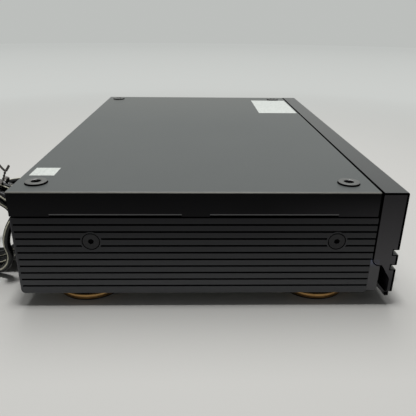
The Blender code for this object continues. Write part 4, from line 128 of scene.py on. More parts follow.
def math_method(operation, swapped=False):
    """A method that joins a socket and another value in a Math node."""

    def method(self, other):
        first, second = (other, self) if swapped else (self, other)
        settings = {"operation": operation}
        return self.nodes.node("ShaderNodeMath", settings, {0: first, 1: second})

    return method


class Value:
    """A socket that Python's operators work on."""

    def __init__(self, nodes, socket):
        self.nodes = nodes
        self.socket = socket

    __add__ = __radd__ = math_method("ADD")
    __mul__ = __rmul__ = math_method("MULTIPLY")
    __sub__, __rsub__ = math_method("SUBTRACT"), math_method("SUBTRACT", swapped=True)
    __truediv__, __pow__ = math_method("DIVIDE"), math_method("POWER")
    __gt__, __lt__ = math_method("GREATER_THAN"), math_method("LESS_THAN")
    larger, smaller = math_method("MAXIMUM"), math_method("MINIMUM")
    zigzag = math_method("PINGPONG")

    def size(self):
        """The value without its sign."""
        return self.nodes.node("ShaderNodeMath", {"operation": "ABSOLUTE"}, {0: self})

    def near(self, middle, reach):
        """1 within that reach of the middle and 0 beyond it."""
        return (self - middle).size() < reach

    def band(self, low, high):
        """0 below low, 1 above high and a straight ramp between, whichever of them is larger."""
        inputs = {"Value": self, "From Min": low, "From Max": high}
        return self.nodes.node("ShaderNodeMapRange", {"clamp": True}, inputs)


print("besides sums, a socket knows", [name for name in vars(Value) if name[0] != "_"])

# %% [markdown]
# Everything that isn't a sum goes through one method, node(), which sets a node's own settings
# first and its inputs after them. A finish is a node tree that has its textures at hand.
#
# Sizes of noise and depths of bump are in millimetres. So are the places that a recipe names, once
# mm() has turned them into the metres that the shader works in.

# %% Node trees and finishes


class Nodes:
    """A node tree and the one method that adds to it."""

    def __init__(self, tree):
        self.tree = tree

    def node(self, kind, settings=None, inputs=None, output=0):
        made = self.tree.nodes.new(kind)
        for name, value in (settings or {}).items():
            setattr(made, name, value)
        for socket, value in (inputs or {}).items():
            self.feed(made.inputs[socket], value)
        return Value(self, made.outputs[output])

    def feed(self, socket, value):
        """Link a Value to the socket or set it; three numbers for a colour get their alpha."""
        if isinstance(value, Value):
            self.tree.links.new(value.socket, socket)
        elif isinstance(value, tuple) and len(value) == 3 and len(socket.default_value) == 4:
            socket.default_value = (*value, 1)
        else:
            socket.default_value = value


finishes = {}


class Finish(Nodes):
    """A material on the Principled shader, with the textures that its recipe asks for."""

    def __init__(self, name, **fixed):
        finishes[name] = bpy.data.materials.new(name)
        finishes[name].use_nodes = True
        super().__init__(finishes[name].node_tree)
        self.shader = self.tree.nodes["Principled BSDF"]
        self.place = self.node("ShaderNodeTexCoord", output="Object")
        self.normal = self.node("ShaderNodeTexCoord", output="Normal")
        self.wear(**fixed)

    def wear(self, **sockets):
        """Set or feed sockets of the shader."""
        for socket, value in sockets.items():
            self.feed(self.shader.inputs[socket.replace("_", " ")], value)

    def axis(self, name, vector=None):
        """One coordinate of a point on the piece, in metres, or one of another vector."""
        return self.node("ShaderNodeSeparateXYZ", None, {0: vector or self.place}, name)

    def axes(self):
        return (self.axis(name) for name in "XYZ")

    def texture(self, kind, size, scale, settings=None, **inputs):
        """A texture with features of that size, its coordinates multiplied axis by axis."""
        vector = self.place
        if scale:
            vector = self.node("ShaderNodeMapping", None, {"Vector": vector, "Scale": scale})
        return self.node(kind, settings, {"Vector": vector, "Scale": 1 / (size * MM), **inputs})

    def noise(self, size, detail, roughness=0.5, scale=None):
        """Cloudy noise whose blobs are about size millimetres across."""
        return self.texture("ShaderNodeTexNoise", size, scale, Detail=detail, Roughness=roughness)

    def cells(self, size, scale=None, feature="F1"):
        return self.texture("ShaderNodeTexVoronoi", size, scale, {"feature": feature})

    def blend(self, factor, first, second):
        """The first colour where factor is 0 and the second where it is 1."""
        settings = {"data_type": "RGBA", "clamp_factor": True}
        return self.node("ShaderNodeMix", settings, {0: factor, 6: first, 7: second}, 2)

    def layered(self, colour, *layers):
        """A colour with the tone of each layer laid over it where that layer's mask says."""
        for mask, tone in layers:
            colour = self.blend(mask, colour, tone)
        return colour

    def bump(self, height, depth, **under):
        """A Bump node of that depth in millimetres, over an earlier one given as Normal."""
        inputs = {"Height": height, "Distance": depth * MM, **under}
        return self.node("ShaderNodeBump", None, inputs)


def mm(*sizes):
    """Sizes in millimetres as metres."""
    return tuple(size * MM for size in sizes)


print("a finish knows", [name for name in vars(Finish) if name[0] != "_"])

# %% [markdown]
# The folded cover is steel under a satin black paint. The paint has the fine orange peel of a
# sprayed coat. Its top is grey, partly a thin dusty layer from years of lying flat and partly a
# painted reflection of the bright room, and it is painted paler towards the far side. The upright
# flanges are painted near black, a painted reflection of the dark room, and paler towards their
# foot and the front, painted light from the floor. The split follows the surface's own normal, so
# it stays put in every view.
#
# A painted highlight runs along a flange's lower edge, where three tabs interrupt it, and another
# along the cover's upper folded edges. Shade is painted round each screw's cup on the cover, and
# in the seam at the front.

# %% Satin black paint
PAINTED_LIGHT_SIDES = mm(20, 210)
FLANGE_LIGHT_HEIGHTS, FLANGE_LIGHT_DEPTHS = mm(94, 78), mm(-40, -122)
FRONT_TAB, REAR_TAB, MIDDLE_TAB = -94 * MM, 118 * MM, mm(11.2, 10.4)
FLANGE_EDGE_HEIGHT, EDGE_HIGHLIGHT_FADE = 78.6 * MM, mm(0.6, 0.3)
FOLD_SIDES, FOLD_HEIGHTS = mm(213.2, 214.2), mm(95, 95.4)
CUP_SHADE, SEAM_SHADE = mm(8.9, 8.4), mm(-123.2, -123.5)


def middle_of(node):
    low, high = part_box(node)
    return (low + high) / 2


def from_cover_screws(side, depth):
    """The distance from the middle of the nearest cover screw."""
    front, rear = (middle_of("top_screw_" + end + "_right") for end in ("front", "rear"))
    along = (depth - front.y).size().smaller((depth - rear.y).size())
    return ((side.size() - front.x) ** 2 + along**2) ** 0.5


def satin_black_steel():
    finish = Finish("satin_black_steel", Specular_IOR_Level=0, Coat_Roughness=0.36)
    upward = finish.axis("Z", finish.normal).band(0.6, 0.95)
    cloud, peel = finish.noise(70, 4), finish.noise(0.55, 1)
    speck = finish.noise(1.6, 2).band(0.7, 0.76)
    side, depth, height = finish.axes()
    # Grey on top: partly a dusty layer, partly painted reflection; painted paler towards the far
    # side.
    film_and_painted_light = finish.blend(cloud, (0.074, 0.081, 0.08), (0.085, 0.092, 0.09))
    film_and_painted_light = finish.blend(side.band(*PAINTED_LIGHT_SIDES) * 0.75, film_and_painted_light, (0.105, 0.11, 0.104))
    # Upright faces: painted near black as a reflection of the dark room, paler to foot and front as
    # painted light.
    sheen = height.band(*FLANGE_LIGHT_HEIGHTS) * (0.25 + depth.band(*FLANGE_LIGHT_DEPTHS) * 0.75)
    upright = finish.blend(sheen, (0.0028, 0.0028, 0.0034), (0.03, 0.029, 0.032))
    tabs = (depth < FRONT_TAB).larger(depth.near(*MIDDLE_TAB)).larger(depth > REAR_TAB)
    # A painted highlight along a flange's lower edge, except at the tabs.
    edge_highlight = (height - FLANGE_EDGE_HEIGHT).size().band(*EDGE_HIGHLIGHT_FADE) * (1 - tabs) * (1 - upward)
    # A painted highlight along the cover's upper folded edges.
    painted_fold_shading = side.size().band(*FOLD_SIDES) * height.band(*FOLD_HEIGHTS)
    # Painted shade round each screw's cup and in the seam at the front.
    painted_cup_shade = from_cover_screws(side, depth).band(*CUP_SHADE)
    shade = painted_cup_shade.larger(depth.band(*SEAM_SHADE))
    colour = finish.layered(
        upright,
        (upward, film_and_painted_light),
        (speck * upward * 0.12, (0.16, 0.16, 0.15)),
        (edge_highlight, (0.15, 0.15, 0.155)),
        (painted_fold_shading * 0.8, (0.195, 0.19, 0.17)),
        (shade, (0.002, 0.002, 0.002)),
    )
    finish.wear(
        Base_Color=colour,
        Roughness=0.33 + cloud * 0.08 + upward * 0.02,
        Coat_Weight=(0.12 + upward * 0.75) * (1 - shade),
        Normal=finish.bump(peel, 0.02),
    )


satin_black_steel()
# From this place the cover's top is painted paler towards the far side, as painted light.
print("paint film across the cover from", PAINTED_LIGHT_SIDES[0] / MM, "mm")

# %% [markdown]
# The front moulding and the keys are a black plastic with a fine spark-eroded grain. The grain is
# too small to see as shapes, but it breaks the highlight, so it goes into the bump. A few pale
# rubs follow the corners that get handled. What faces up is paler, partly dusty and partly
# painted light, which is painted paler towards the far side.
#
# The moulding's end face is painted paler downwards, for the floor's bounced light, down to the
# chin, which is darker again. Shade is painted near black on its outer edge, in its two grooves,
# in the seam behind it and in the hollow behind the chin, and a highlight is painted at the front
# tips of the grooves.

# %% Grained front plastic
FRONT_TOP_LIGHT_SIDES = mm(-200, 200)
EDGE_TOP, EDGE_FRONT, EDGE_FOOT = mm(94.2, -142.3, 12.4)
UPPER_SLOT, LOWER_SLOT = mm(47.3, 2.9), mm(34.4, 2.7)
SLOT_DEPTH, SLOT_HIGHLIGHT_TIPS = mm(-138.8, -142.4)
SEAM_DEPTHS, SEAM_FOOT = mm(-125.8, -125.5), 41 * MM
END_BOUNCE_HEIGHTS, CHIN_HEIGHTS = mm(92, 42), mm(33, 20)
CURVE_DEPTHS, CURVE_HEIGHTS = mm(-131, -127), mm(42, 38)
HOLLOW_SIDE, HOLLOW_TOP, HOLLOW_FRONT = mm(214.6, 33.5, -139.5)
PAINTED_GAP_SHADE = (0.0012, 0.0012, 0.0014)


def scuffs(finish, where):
    """A layer of the bluish scuffs of handling."""
    return where * finish.noise(2.2, 4).band(0.36, 0.56), (0.16, 0.18, 0.27)


def black_front_plastic():
    finish = Finish("black_front_plastic", Specular_IOR_Level=0, Coat_Roughness=0.3)
    grain, cloud = finish.noise(0.35, 2), finish.noise(40, 3)
    upward = finish.axis("Z", finish.normal).band(0.5, 0.95)
    end = finish.axis("X", finish.normal).size().band(0.8, 0.9)
    rub = finish.noise(9, 5, 0.7).band(0.62, 0.72)
    side, depth, height = finish.axes()
    # Paler on what faces up: partly dusty, partly painted light, painted paler towards the far
    # side.
    dust_and_painted_light = finish.blend(side.band(*FRONT_TOP_LIGHT_SIDES), (0.045, 0.047, 0.047), (0.066, 0.067, 0.065))
    # The end face is painted paler downwards, for the floor's bounced light.
    painted_bounce_light = (0.05 + height.band(*END_BOUNCE_HEIGHTS) * 0.95) * end
    chin = end * height.band(*CHIN_HEIGHTS) * (0.55 + rub * 0.35)
    curve = end * depth.band(*CURVE_DEPTHS) * height.band(*CURVE_HEIGHTS)
    # Painted shade, near black, on the end face's outer edge and in its grooves, seam and hollow.
    edge = (height > EDGE_TOP).larger(depth < EDGE_FRONT).larger(height < EDGE_FOOT)
    slots = height.near(*UPPER_SLOT).larger(height.near(*LOWER_SLOT))
    painted_edge_shade = edge.larger(slots * (depth < SLOT_DEPTH)) * end
    seam = depth.band(*SEAM_DEPTHS) * (height > SEAM_FOOT)
    hollow = (side.size() < HOLLOW_SIDE) * (height < HOLLOW_TOP) * (depth > HOLLOW_FRONT)
    painted_shade = painted_edge_shade.larger(seam).larger(hollow)
    colour = finish.layered(
        finish.blend(cloud, (0.029, 0.0278, 0.031), (0.036, 0.0345, 0.038)),
        (upward, dust_and_painted_light),
        (rub * 0.25, (0.05, 0.05, 0.055)),
        (painted_bounce_light, (0.094, 0.091, 0.097)),
        (chin, (0.01, 0.01, 0.012)),
        scuffs(finish, curve),
        (painted_shade, PAINTED_GAP_SHADE),
        # A painted highlight at the front tips of the grooves.
        (upward * slots * (depth < SLOT_HIGHLIGHT_TIPS), (0.33, 0.32, 0.28)),
    )
    finish.wear(
        Base_Color=colour,
        Roughness=0.4 + grain * 0.08 - rub * 0.05,
        Coat_Weight=(0.22 + upward * 0.78) * (1 - painted_shade * 0.95),
        Normal=finish.bump(grain, 0.03),
    )


black_front_plastic()
print("grooves in the front's end face at", UPPER_SLOT[0] / MM, "and", LOWER_SLOT[0] / MM, "mm")

# %% [markdown]
# The side panels are moulded in a greyer black. Fine lines run the length of each rib, left by the
# tool that cut the mould, so the noise is stretched along Y. The panel is painted paler towards its
# foot, for the floor's bounced light, and towards its front, as painted light too, and a highlight
# is painted down its rear edge. Shade is painted near black in the grooves between the ribs, and
# the smooth block at the front is the palest part.

# %% Ribbed side plastic
BOUNCE_LIGHT_HEIGHTS, FRONT_LIGHT_DEPTHS = mm(75, 20), mm(-40, -122)
GROOVE_SIDES = mm(214.8, 213.8)
BLOCK_DEPTHS, BLOCK_TOP, BLOCK_SCUFFS = mm(-123, -123.6), 42.5 * MM, mm(35, 40)
REAR_EDGE_HIGHLIGHT = mm(146, 146.4)


def ribbed_black_plastic():
    finish = Finish("ribbed_black_plastic", Specular_IOR_Level=0, Coat_Roughness=0.45)
    lines, cloud = finish.noise(1, 3, 0.6, (1, 0.02, 1.6)), finish.noise(30, 3)
    side, depth, height = finish.axes()
    mould = cloud * 0.5 + lines * 0.5
    block = depth.band(*BLOCK_DEPTHS) * (height < BLOCK_TOP)
    groove_shade = side.size().band(*GROOVE_SIDES)
    colour = finish.layered(
        finish.blend(mould, (0.0085, 0.0085, 0.0105), (0.0135, 0.0135, 0.016)),
        # Painted paler downwards, for the floor's bounced light.
        (height.band(*BOUNCE_LIGHT_HEIGHTS) ** 1.15, (0.076, 0.078, 0.083)),
        # Painted paler towards the front, as painted light.
        (depth.band(*FRONT_LIGHT_DEPTHS) * 0.2, (0.06, 0.06, 0.064)),
        (block, (0.104, 0.103, 0.108)),
        scuffs(finish, block * height.band(*BLOCK_SCUFFS)),
        # A painted highlight down the rear edge.
        (depth.band(*REAR_EDGE_HIGHLIGHT) * 0.6, (0.085, 0.085, 0.092)),
        # Painted shade, near black, in the grooves between the ribs.
        (groove_shade, PAINTED_GAP_SHADE),
    )
    finish.wear(
        Base_Color=colour,
        Roughness=0.44 + lines * 0.12,
        Coat_Weight=(1 - groove_shade) * 0.4,
        Normal=finish.bump(lines, 0.02),
    )


ribbed_black_plastic()
# Below this height the panels are painted paler, for the floor's bounced light.
print("panels dusty below", BOUNCE_LIGHT_HEIGHTS[0] / MM, "mm")

# %% [markdown]
# Most other finishes have one recipe: two tones over a cloud of noise, and a finer grain that sets
# the roughness and a slight relief. On metals the grain is stretched, so it brushes a plate, draws
# a motor's can or turns a ring. An edge cuts the cloud into patches, such as grease on a gear.

# %% The plain finishes


def plain_finish(name, tones, cloud, rough, grain=None, relief=0, edge=None, part=1, **fixed):
    """Two tones over a cloud, roughness from rough[0] up by rough[1], and relief in millimetres.

    Cloud and grain are what noise() takes, and part is how much of the second tone shows.
    """
    finish = Finish(name, **fixed)
    pattern = finish.noise(*cloud)
    if edge:
        pattern = pattern.band(*edge)
    fine = finish.noise(*grain) if grain else pattern
    colour = finish.blend(pattern * part, *tones)
    finish.wear(Base_Color=colour, Roughness=rough[0] + fine * rough[1])
    if relief:
        finish.wear(Normal=finish.bump(fine, relief))


INNER_BLACK = (0.009, 0.009, 0.01), (0.016, 0.016, 0.017)
GOLD = (0.33, 0.18, 0.065), (0.46, 0.28, 0.11)
FOOT_BLACK = (0.007, 0.007, 0.007), (0.014, 0.013, 0.013)
SMOKE = (0.004, 0.004, 0.005), (0.009, 0.009, 0.01)
GREASY_WHITE = (0.7, 0.69, 0.64), (0.52, 0.49, 0.4)
RUBBER = (0.01, 0.01, 0.01), (0.022, 0.022, 0.021)
MOTOR_CAN = (0.42, 0.42, 0.41), (0.56, 0.56, 0.55)
GREY_FIBRE = (0.1, 0.1, 0.11), (0.17, 0.17, 0.18)
LEAD_BLACK = (0.0035, 0.0035, 0.004), (0.007, 0.007, 0.0075)
TURNED, DRAWN, FIBRES, SMEAR = (0.05, 0.05, 1), (1, 1, 0.06), (1, 0.3, 1), (1, 1, 2.5)
BARE = {"relief": 0.01, "Metallic": 1}

plain_finish("inner_black_plastic", INNER_BLACK, (15, 3), (0.5, 0.15), (0.6, 2), 0.03)
plain_finish("foot_plastic", FOOT_BLACK, (8, 3), (0.55, 0.15), (0.8, 2), 0.03)
plain_finish("gold_ring", GOLD, (12, 3), (0.24, 0.2), (0.5, 3, 0.6, TURNED), **BARE)
plain_finish("motor_steel", MOTOR_CAN, (6, 2), (0.22, 0.2), (0.8, 3, 0.6, DRAWN), **BARE)
plain_finish("smoked_window", SMOKE, (22, 4, 0.6, SMEAR), (0.06, 0.09), Specular_IOR_Level=0.15)
plain_finish("white_gear", GREASY_WHITE, (2.5, 3), (0.48, -0.22), edge=(0.55, 0.7), part=0.5)
plain_finish("black_rubber", RUBBER, (1.5, 3), (0.75, 0.15))
plain_finish("grey_mechanism", GREY_FIBRE, (1.4, 4, 0.7, FIBRES), (0.45, 0.15), relief=0.03)
plain_finish("black_lead", LEAD_BLACK, (3, 3), (0.1, 0.08), relief=0.02, Specular_IOR_Level=0.3)
print("finishes so far:", len(finishes))

# %% [markdown]
# The other five finishes have a recipe each. A screw keeps its metal's tone on its face, and
# shade is painted near black on the side wall of its head and in its recess, so its tone follows
# the place of a point. The plated sheets show the flakes of zinc.

# %% Screws and plated sheets
COVER_HEADS, HEAD_FACE = 90 * MM, mm(97.15, 97.4)
FLUSH_FACE = mm(214.5, 214.85)


def black_screw():
    finish = Finish("black_screw", Specular_IOR_Level=0)
    grain = finish.noise(0.8, 3)
    side, height = finish.axis("X").size(), finish.axis("Z")
    on_cover = height > COVER_HEADS
    face = on_cover * height.band(*HEAD_FACE)
    flush = (1 - on_cover) * side.band(*FLUSH_FACE)
    # Shade is painted near black on the head's side wall and in the drive; the face keeps the
    # metal's tone.
    colour = finish.layered(
        (0.0015, 0.0015, 0.0018),
        (face, (0.205, 0.207, 0.201)),
        (flush, (0.052, 0.052, 0.054)),
        (grain * 0.2, (0.03, 0.03, 0.032)),
    )
    sheen = face * 0.6 + flush * 0.1
    finish.wear(Base_Color=colour, Roughness=0.32 + grain * 0.12, Metallic=sheen)


def zinc_steel():
    finish = Finish("zinc_steel", Metallic=1)
    brushed = finish.noise(1, 4, 0.6, (0.03, 1.2, 1.2))
    colour = finish.blend(finish.cells(7), (0.36, 0.37, 0.36), (0.55, 0.55, 0.52))
    relief = finish.bump(brushed, 0.01)
    finish.wear(Base_Color=colour, Roughness=0.32 + brushed * 0.16, Normal=relief)


black_screw()
zinc_steel()
print("heads on the cover are bright above", HEAD_FACE[1] / MM, "mm")

# %% [markdown]
# The circuit board changes colour with height, because its parts stand on it in one solid. The
# transformer has iron sheets round a taped winding, and the display tube has a fine grid behind
# its glass.

# %% Board, transformer and display tube
BOARD_THICKNESS, CAN_TOP = 1.7 * MM, mm(14, 15)
IRON_SHEET, WINDING_HALF, IRON_SIDES = 0.5 * MM, 15.2 * MM, mm(20, 30)
GRID_WIRE = 0.6 * MM


def board_green():
    finish = Finish("board_green")
    height = finish.axis("Z") - (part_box("main_board")[0].z + BOARD_THICKNESS)
    tracks = finish.cells(3.5, (1, 2.2, 0), "DISTANCE_TO_EDGE").band(0.05, 0.09)
    board = finish.blend(tracks, (0.035, 0.13, 0.055), (0.018, 0.075, 0.032))
    sleeve = finish.blend(height.band(*CAN_TOP), (0.012, 0.012, 0.018), (0.014, 0.018, 0.05))
    colour = finish.blend(height > 0, board, sleeve)
    finish.wear(Base_Color=colour, Roughness=0.35 + tracks * 0.1, Normal=finish.bump(tracks, 0.02))


def core_steel():
    finish = Finish("core_steel")
    middle = middle_of("power_transformer")
    side, depth, _ = finish.axes()
    sheets = (depth / IRON_SHEET).zigzag(0.5) * 2
    winding = (depth - middle.y).size() > WINDING_HALF
    tape = finish.blend(finish.noise(5, 3), (0.32, 0.2, 0.045), (0.42, 0.28, 0.07))
    iron = finish.blend(sheets, (0.1, 0.09, 0.085), (0.21, 0.195, 0.18))
    flank = (side - middle.x).size().band(*IRON_SIDES)
    iron = finish.blend(flank * 0.4, iron, (0.09, 0.07, 0.05))
    finish.wear(
        Base_Color=finish.blend(winding, iron, tape),
        Roughness=0.5 - winding * 0.15 + sheets * 0.1,
        Metallic=(1 - winding) * 0.6,
        Normal=finish.bump(sheets * (1 - winding), 0.05),
    )


def tube_glass():
    finish = Finish("tube_glass", Coat_Weight=0.6, Coat_Roughness=0.05)
    grid = finish.axis("X").zigzag(GRID_WIRE) / GRID_WIRE
    colour = finish.blend(grid, (0.02, 0.045, 0.042), (0.05, 0.085, 0.08))
    finish.wear(Base_Color=colour, Roughness=0.12 + grid * 0.1)


board_green()
core_steel()
tube_glass()
print("finishes:", len(finishes))

# %% [markdown]
# Each part of the frame names the slot that its finish belongs to, so one loop dresses them all.

# %% Dress every part of the frame
for subpart in record["subparts"]:
    part = frame["nodes"][subpart["node"]]
    part.data.materials.clear()
    part.data.materials.append(finishes[subpart["material_slot"]])
print("parts dressed:", len(record["subparts"]))

# %% [markdown]
# The mains lead comes next. It leaves the strain relief straight, bends round behind the case,
# passes under its own coil and rises into seven turns, which a tie holds. The points of the coil
# are worked out by a loop: each layer spirals in or out again, and the lead climbs a layer in the
# half turn where the spiral reverses.

# %% The coil of the mains lead
CORD = 6 * MM
COIL_LAYERS = 4
TURNS_PER_LAYER = 1.75
COIL_PITCH = CORD + 0.6 * MM
COIL_MIDDLE = Vector(mm(-150, 192, 42.2))
COIL_RADIUS = 39 * MM
CLIMB_TURNS = 0.5
POINTS_PER_TURN = 24
FIRST_STEP = 6
LAST_STEP = round(COIL_LAYERS * TURNS_PER_LAYER * POINTS_PER_TURN)
TAIL_RUN, TAIL_RADIUS = mm(22, 24)
TAIL_STEPS = 6


def even_steps(whole, steps):
    """The places of even steps from 0 to whole, both of them included."""
    return [whole * step / steps for step in range(steps + 1)]


def coil_point(turns):
    """The middle of the cord after that many turns, counted from the lowest point."""
    phase = turns / TURNS_PER_LAYER
    painted_fold_shading = phase % 2
    inward = min(painted_fold_shading, 2 - painted_fold_shading) * TURNS_PER_LAYER * COIL_PITCH
    border = max(1, min(COIL_LAYERS - 1, round(phase)))
    climb = (turns - border * TURNS_PER_LAYER) / CLIMB_TURNS + 0.5
    layer = border - 1 + max(0, min(1, climb)) - (COIL_LAYERS - 1) / 2
    angle = -math.pi / 2 + 2 * math.pi * turns
    spoke = Vector((0, math.cos(angle), math.sin(angle))) * (COIL_RADIUS - inward)
    return COIL_MIDDLE + spoke + Vector((layer * COIL_PITCH, 0, 0))


def tail_points():
    """Past the last turn: a run over the floor, a quarter turn, and straight into the plug."""
    x = COIL_MIDDLE.x + (COIL_LAYERS - 1) / 2 * COIL_PITCH
    middle = Vector((x + TAIL_RADIUS, COIL_MIDDLE.y + TAIL_RUN, COIL_MIDDLE.z - COIL_RADIUS))
    turns = even_steps(math.pi / 2, TAIL_STEPS)
    bend = [middle + TAIL_RADIUS * Vector((-math.cos(a), math.sin(a), 0)) for a in turns]
    return bend + [bend[-1] + Vector((CORD, 0, 0))]


wound = [coil_point(step / POINTS_PER_TURN) for step in range(FIRST_STEP, LAST_STEP + 1)]
print("turns of the coil:", COIL_LAYERS * TURNS_PER_LAYER)

# %% [markdown]
# Where the lead isn't coiled its places are listed, in millimetres from the middle of the front's
# foot, and a smooth line joins them. A curve with a round bevel is the natural tool here, because
# its own line is the middle of the cord.

# %% The mains lead
FRONT_FOOT = Vector(mm(0, -144, 12))
RELIEF_END = Vector(mm(-80, 174, 50))
CORD_ROUTE = (
    (-86.7, 340, 38.8), (-100.3, 349.3, 42.3), (-116.4, 348.2, 49), (-127.4, 336.6, 57.1),
    (-132.6, 311.7, 63.8), (-144.6, 298.9, 65.3), (-160.8, 295.5, 62.2), (-173.8, 299.9, 53.7),
    (-179.8, 308.1, 40), (-178.2, 312.9, 25.7), (-175.1, 312.7, 13.8), (-172.1, 316.2, 3.6),
    (-168.6, 323.9, -4.2), (-165, 333.8, -7.9), (-161.6, 345.5, -8.6), (-160.6, 357.6, -5.4),
    (-160.1, 368.1, 4),
)
STEPS_PER_PLACE = 4
CORD_ROUNDNESS = 4


def smooth_line(places):
    """Points on a curve through the places; the first and last only set its directions."""
    fine = []
    for a, b, c, d in zip(places, places[1:], places[2:], places[3:]):
        for step in range(STEPS_PER_PLACE):
            t = step / STEPS_PER_PLACE
            bend = (2 * a - 5 * b + 4 * c - d) * t**2 + (3 * b - a - 3 * c + d) * t**3
            fine.append(0.5 * (2 * b + (c - a) * t + bend))
    return fine + [places[-2]]


def cord_length(points):
    return sum((second - first).length for first, second in zip(points, points[1:]))


def cord_object(name, points, diameter, finish):
    """A curve object of one open spline with a round bevel."""
    curve = bpy.data.curves.new(name, "CURVE")
    curve.dimensions = "3D"
    curve.bevel_depth = diameter / 2
    curve.bevel_resolution = CORD_ROUNDNESS
    curve.use_fill_caps = True
    spline = curve.splines.new("POLY")
    spline.points.add(len(points) - 1)
    for place, point in zip(spline.points, points):
        place.co = (*point, 1)
    spline.use_smooth = True
    curve.materials.append(finishes[finish])
    thing = add_object(name, curve)
    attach(thing, "chassis")
    return thing


route = [FRONT_FOOT + Vector(mm(*place)) for place in CORD_ROUTE]
start = [RELIEF_END, RELIEF_END + Vector((0, CORD, 0))]
loose = smooth_line(start + route + [wound[0] - Vector((0, 0, CORD)), wound[0]])
lead_line = [RELIEF_END] + loose + wound + tail_points()
mains_lead = cord_object("mains_lead", lead_line, CORD, "black_lead")
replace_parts(mains_lead, "power_cord", "cord_coil")
print("length of the lead in metres:", round(cord_length(lead_line), 3))

# %% [markdown]
# A twin lead like this has a moulded rib along one side, coloured so that the wires can be told
# apart. It is a second, thin curve that keeps to one side of the first. A direction is carried from
# point to point by the same small turn that the cord itself makes there, so the rib never twists.

# %% The pale rib along the lead
RIB, RIB_OFFSET = mm(1.3, 2.6)
RIB_START = 2
CREAM = (0.68, 0.66, 0.52), (0.42, 0.4, 0.31)


def carried(side, before, after):
    """A direction square to the cord, turned with it from one stretch to the next."""
    turned_side = before.rotation_difference(after) @ side
    return (turned_side - after * turned_side.dot(after)).normalized()


def line_beside(points, start, facing, offset):
    """A line at that distance from the cord, on the side that faces that way at point start."""
    along = [(second - first).normalized() for first, second in zip(points, points[1:])]
    along.append(along[-1])
    sides = {start: (facing - along[start] * along[start].dot(facing)).normalized()}
    for step, indices in ((-1, range(start + 1, len(points))), (1, range(start - 1, -1, -1))):
        for index in indices:
            sides[index] = carried(sides[index + step], along[index + step], along[index])
    return [point + sides[index] * offset for index, point in enumerate(points)]


dirt = {"edge": (0.4, 0.75), "part": 0.6}
plain_finish("cream_rib", CREAM, (4, 4, 0.6), (0.3, 0.2), **dirt, Specular_IOR_Level=0.4)
rib_line = line_beside(lead_line, 1 + len(loose), Vector((-1, 0, 0)), RIB_OFFSET)[RIB_START:]
lead_rib = cord_object("lead_rib", rib_line, RIB, "cream_rib")
print("points along the rib:", len(rib_line))

# %% [markdown]
# From here on the script models the pieces that the packed parts only stand in for. A packed part
# is made for a physics engine: it is closed and light, so a round head has eighteen sides. Each
# piece here takes its place from the part that it covers and spends many more faces.
#
# Three helpers do what every such piece needs. One turns a bmesh into a finished object: it merges
# what the modelling left double, points the normals outwards and marks the edges that stay sharp.
# One turns a shape that was modelled standing at the origin to face where it belongs. The last
# spins a profile, as a lathe does.

# %% Finish, stand and turn a piece
WELD = 0.0002 * MM
UP, FORWARD, BACKWARD = (0, 0, 1), (0, -1, 0), (0, 1, 0)


def mesh_object(name, bm, finish):
    """An object of the bmesh, which is freed, in that finish."""
    mesh = bpy.data.meshes.new(name)
    bm.to_mesh(mesh)
    bm.free()
    mesh.materials.append(finishes[finish])
    return add_object(name, mesh)


def finished(name, bm, finish, body="chassis", sharp=32):
    """A finished piece that rides on a body, smooth but for edges that bend by more than sharp."""
    bmesh.ops.remove_doubles(bm, verts=bm.verts, dist=WELD)
    bmesh.ops.recalc_face_normals(bm, faces=bm.faces)
    for face in bm.faces:
        face.smooth = True
    for edge in bm.edges:
        edge.smooth = edge.calc_face_angle(0) < math.radians(sharp)
    thing = mesh_object(name, bm, finish)
    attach(thing, body)
    return thing


def stand(bm, place, outward=UP, spin=0):
    """Spin a shape on +Z, turn that to outward with its own Y close to +Z, and move it."""
    turn = Vector(outward).to_track_quat("Z", "Y").to_matrix().to_4x4()
    turn = turn @ Matrix.Rotation(spin, 4, "Z")
    bmesh.ops.transform(bm, matrix=Matrix.Translation(place) @ turn, verts=bm.verts)
    return bm


def turned(profile, steps):
    """A shape turned about +Z from (radius, height) pairs in millimetres."""
    bm = bmesh.new()
    line = [bm.verts.new((radius * MM, 0, height * MM)) for radius, height in profile]
    edges = [bm.edges.new(pair) for pair in zip(line, line[1:])]
    turn = {"cent": (0, 0, 0), "axis": UP, "angle": 2 * math.pi}
    bmesh.ops.spin(bm, geom=line + edges, steps=steps, use_merge=True, **turn)
    bmesh.ops.remove_doubles(bm, verts=bm.verts, dist=WELD)
    return bm


print("points closer than", WELD / MM, "mm are merged")

# %% [markdown]
# A screw head shows its drive, so the recess is real. The profile is turned but stops at a circle
# round the drive. The space between that circle and the outline of the drive is filled with
# triangles, and the outline is extruded downwards, a little narrower at the bottom, and closed.
#
# The wide cover screws have a cup with a cross in it. The flush side screws have a hexagon socket.

# %% Screws with a real drive
HEAD_RISE, HEAD = 1.3, 8.15
TOP_SCREW = (
    (3.1, 0.4), (3.6, 0.75), (3.9, 1.15), (4.1, 1.27), (4.3, HEAD_RISE), (7.6, HEAD_RISE),
    (7.95, 1.2), (HEAD, 0.9), (HEAD, 0), (2, 0), (2, -8), (0, -8),
)
SIDE_SCREW = (
    (5.75, 0), (6, -0.05), (6.2, -0.3), (6.2, -1.6), (1.8, -1.6), (1.8, -7.5), (0, -7.5),
)
NARROWING = 0.75
SCREW_STEPS = 56
CROSS, CROSS_DEPTH = (2.4, 1.1), 1
SOCKET, SOCKET_DEPTH = (2.35, 6), 1.4
CROSS_SPIN, SOCKET_SPIN = 0.35, 0.3


def round_outline(radius, steps, x=0, y=0):
    turns = even_steps(2 * math.pi, steps)[:-1]
    return [(x + radius * math.cos(turn), y + radius * math.sin(turn)) for turn in turns]


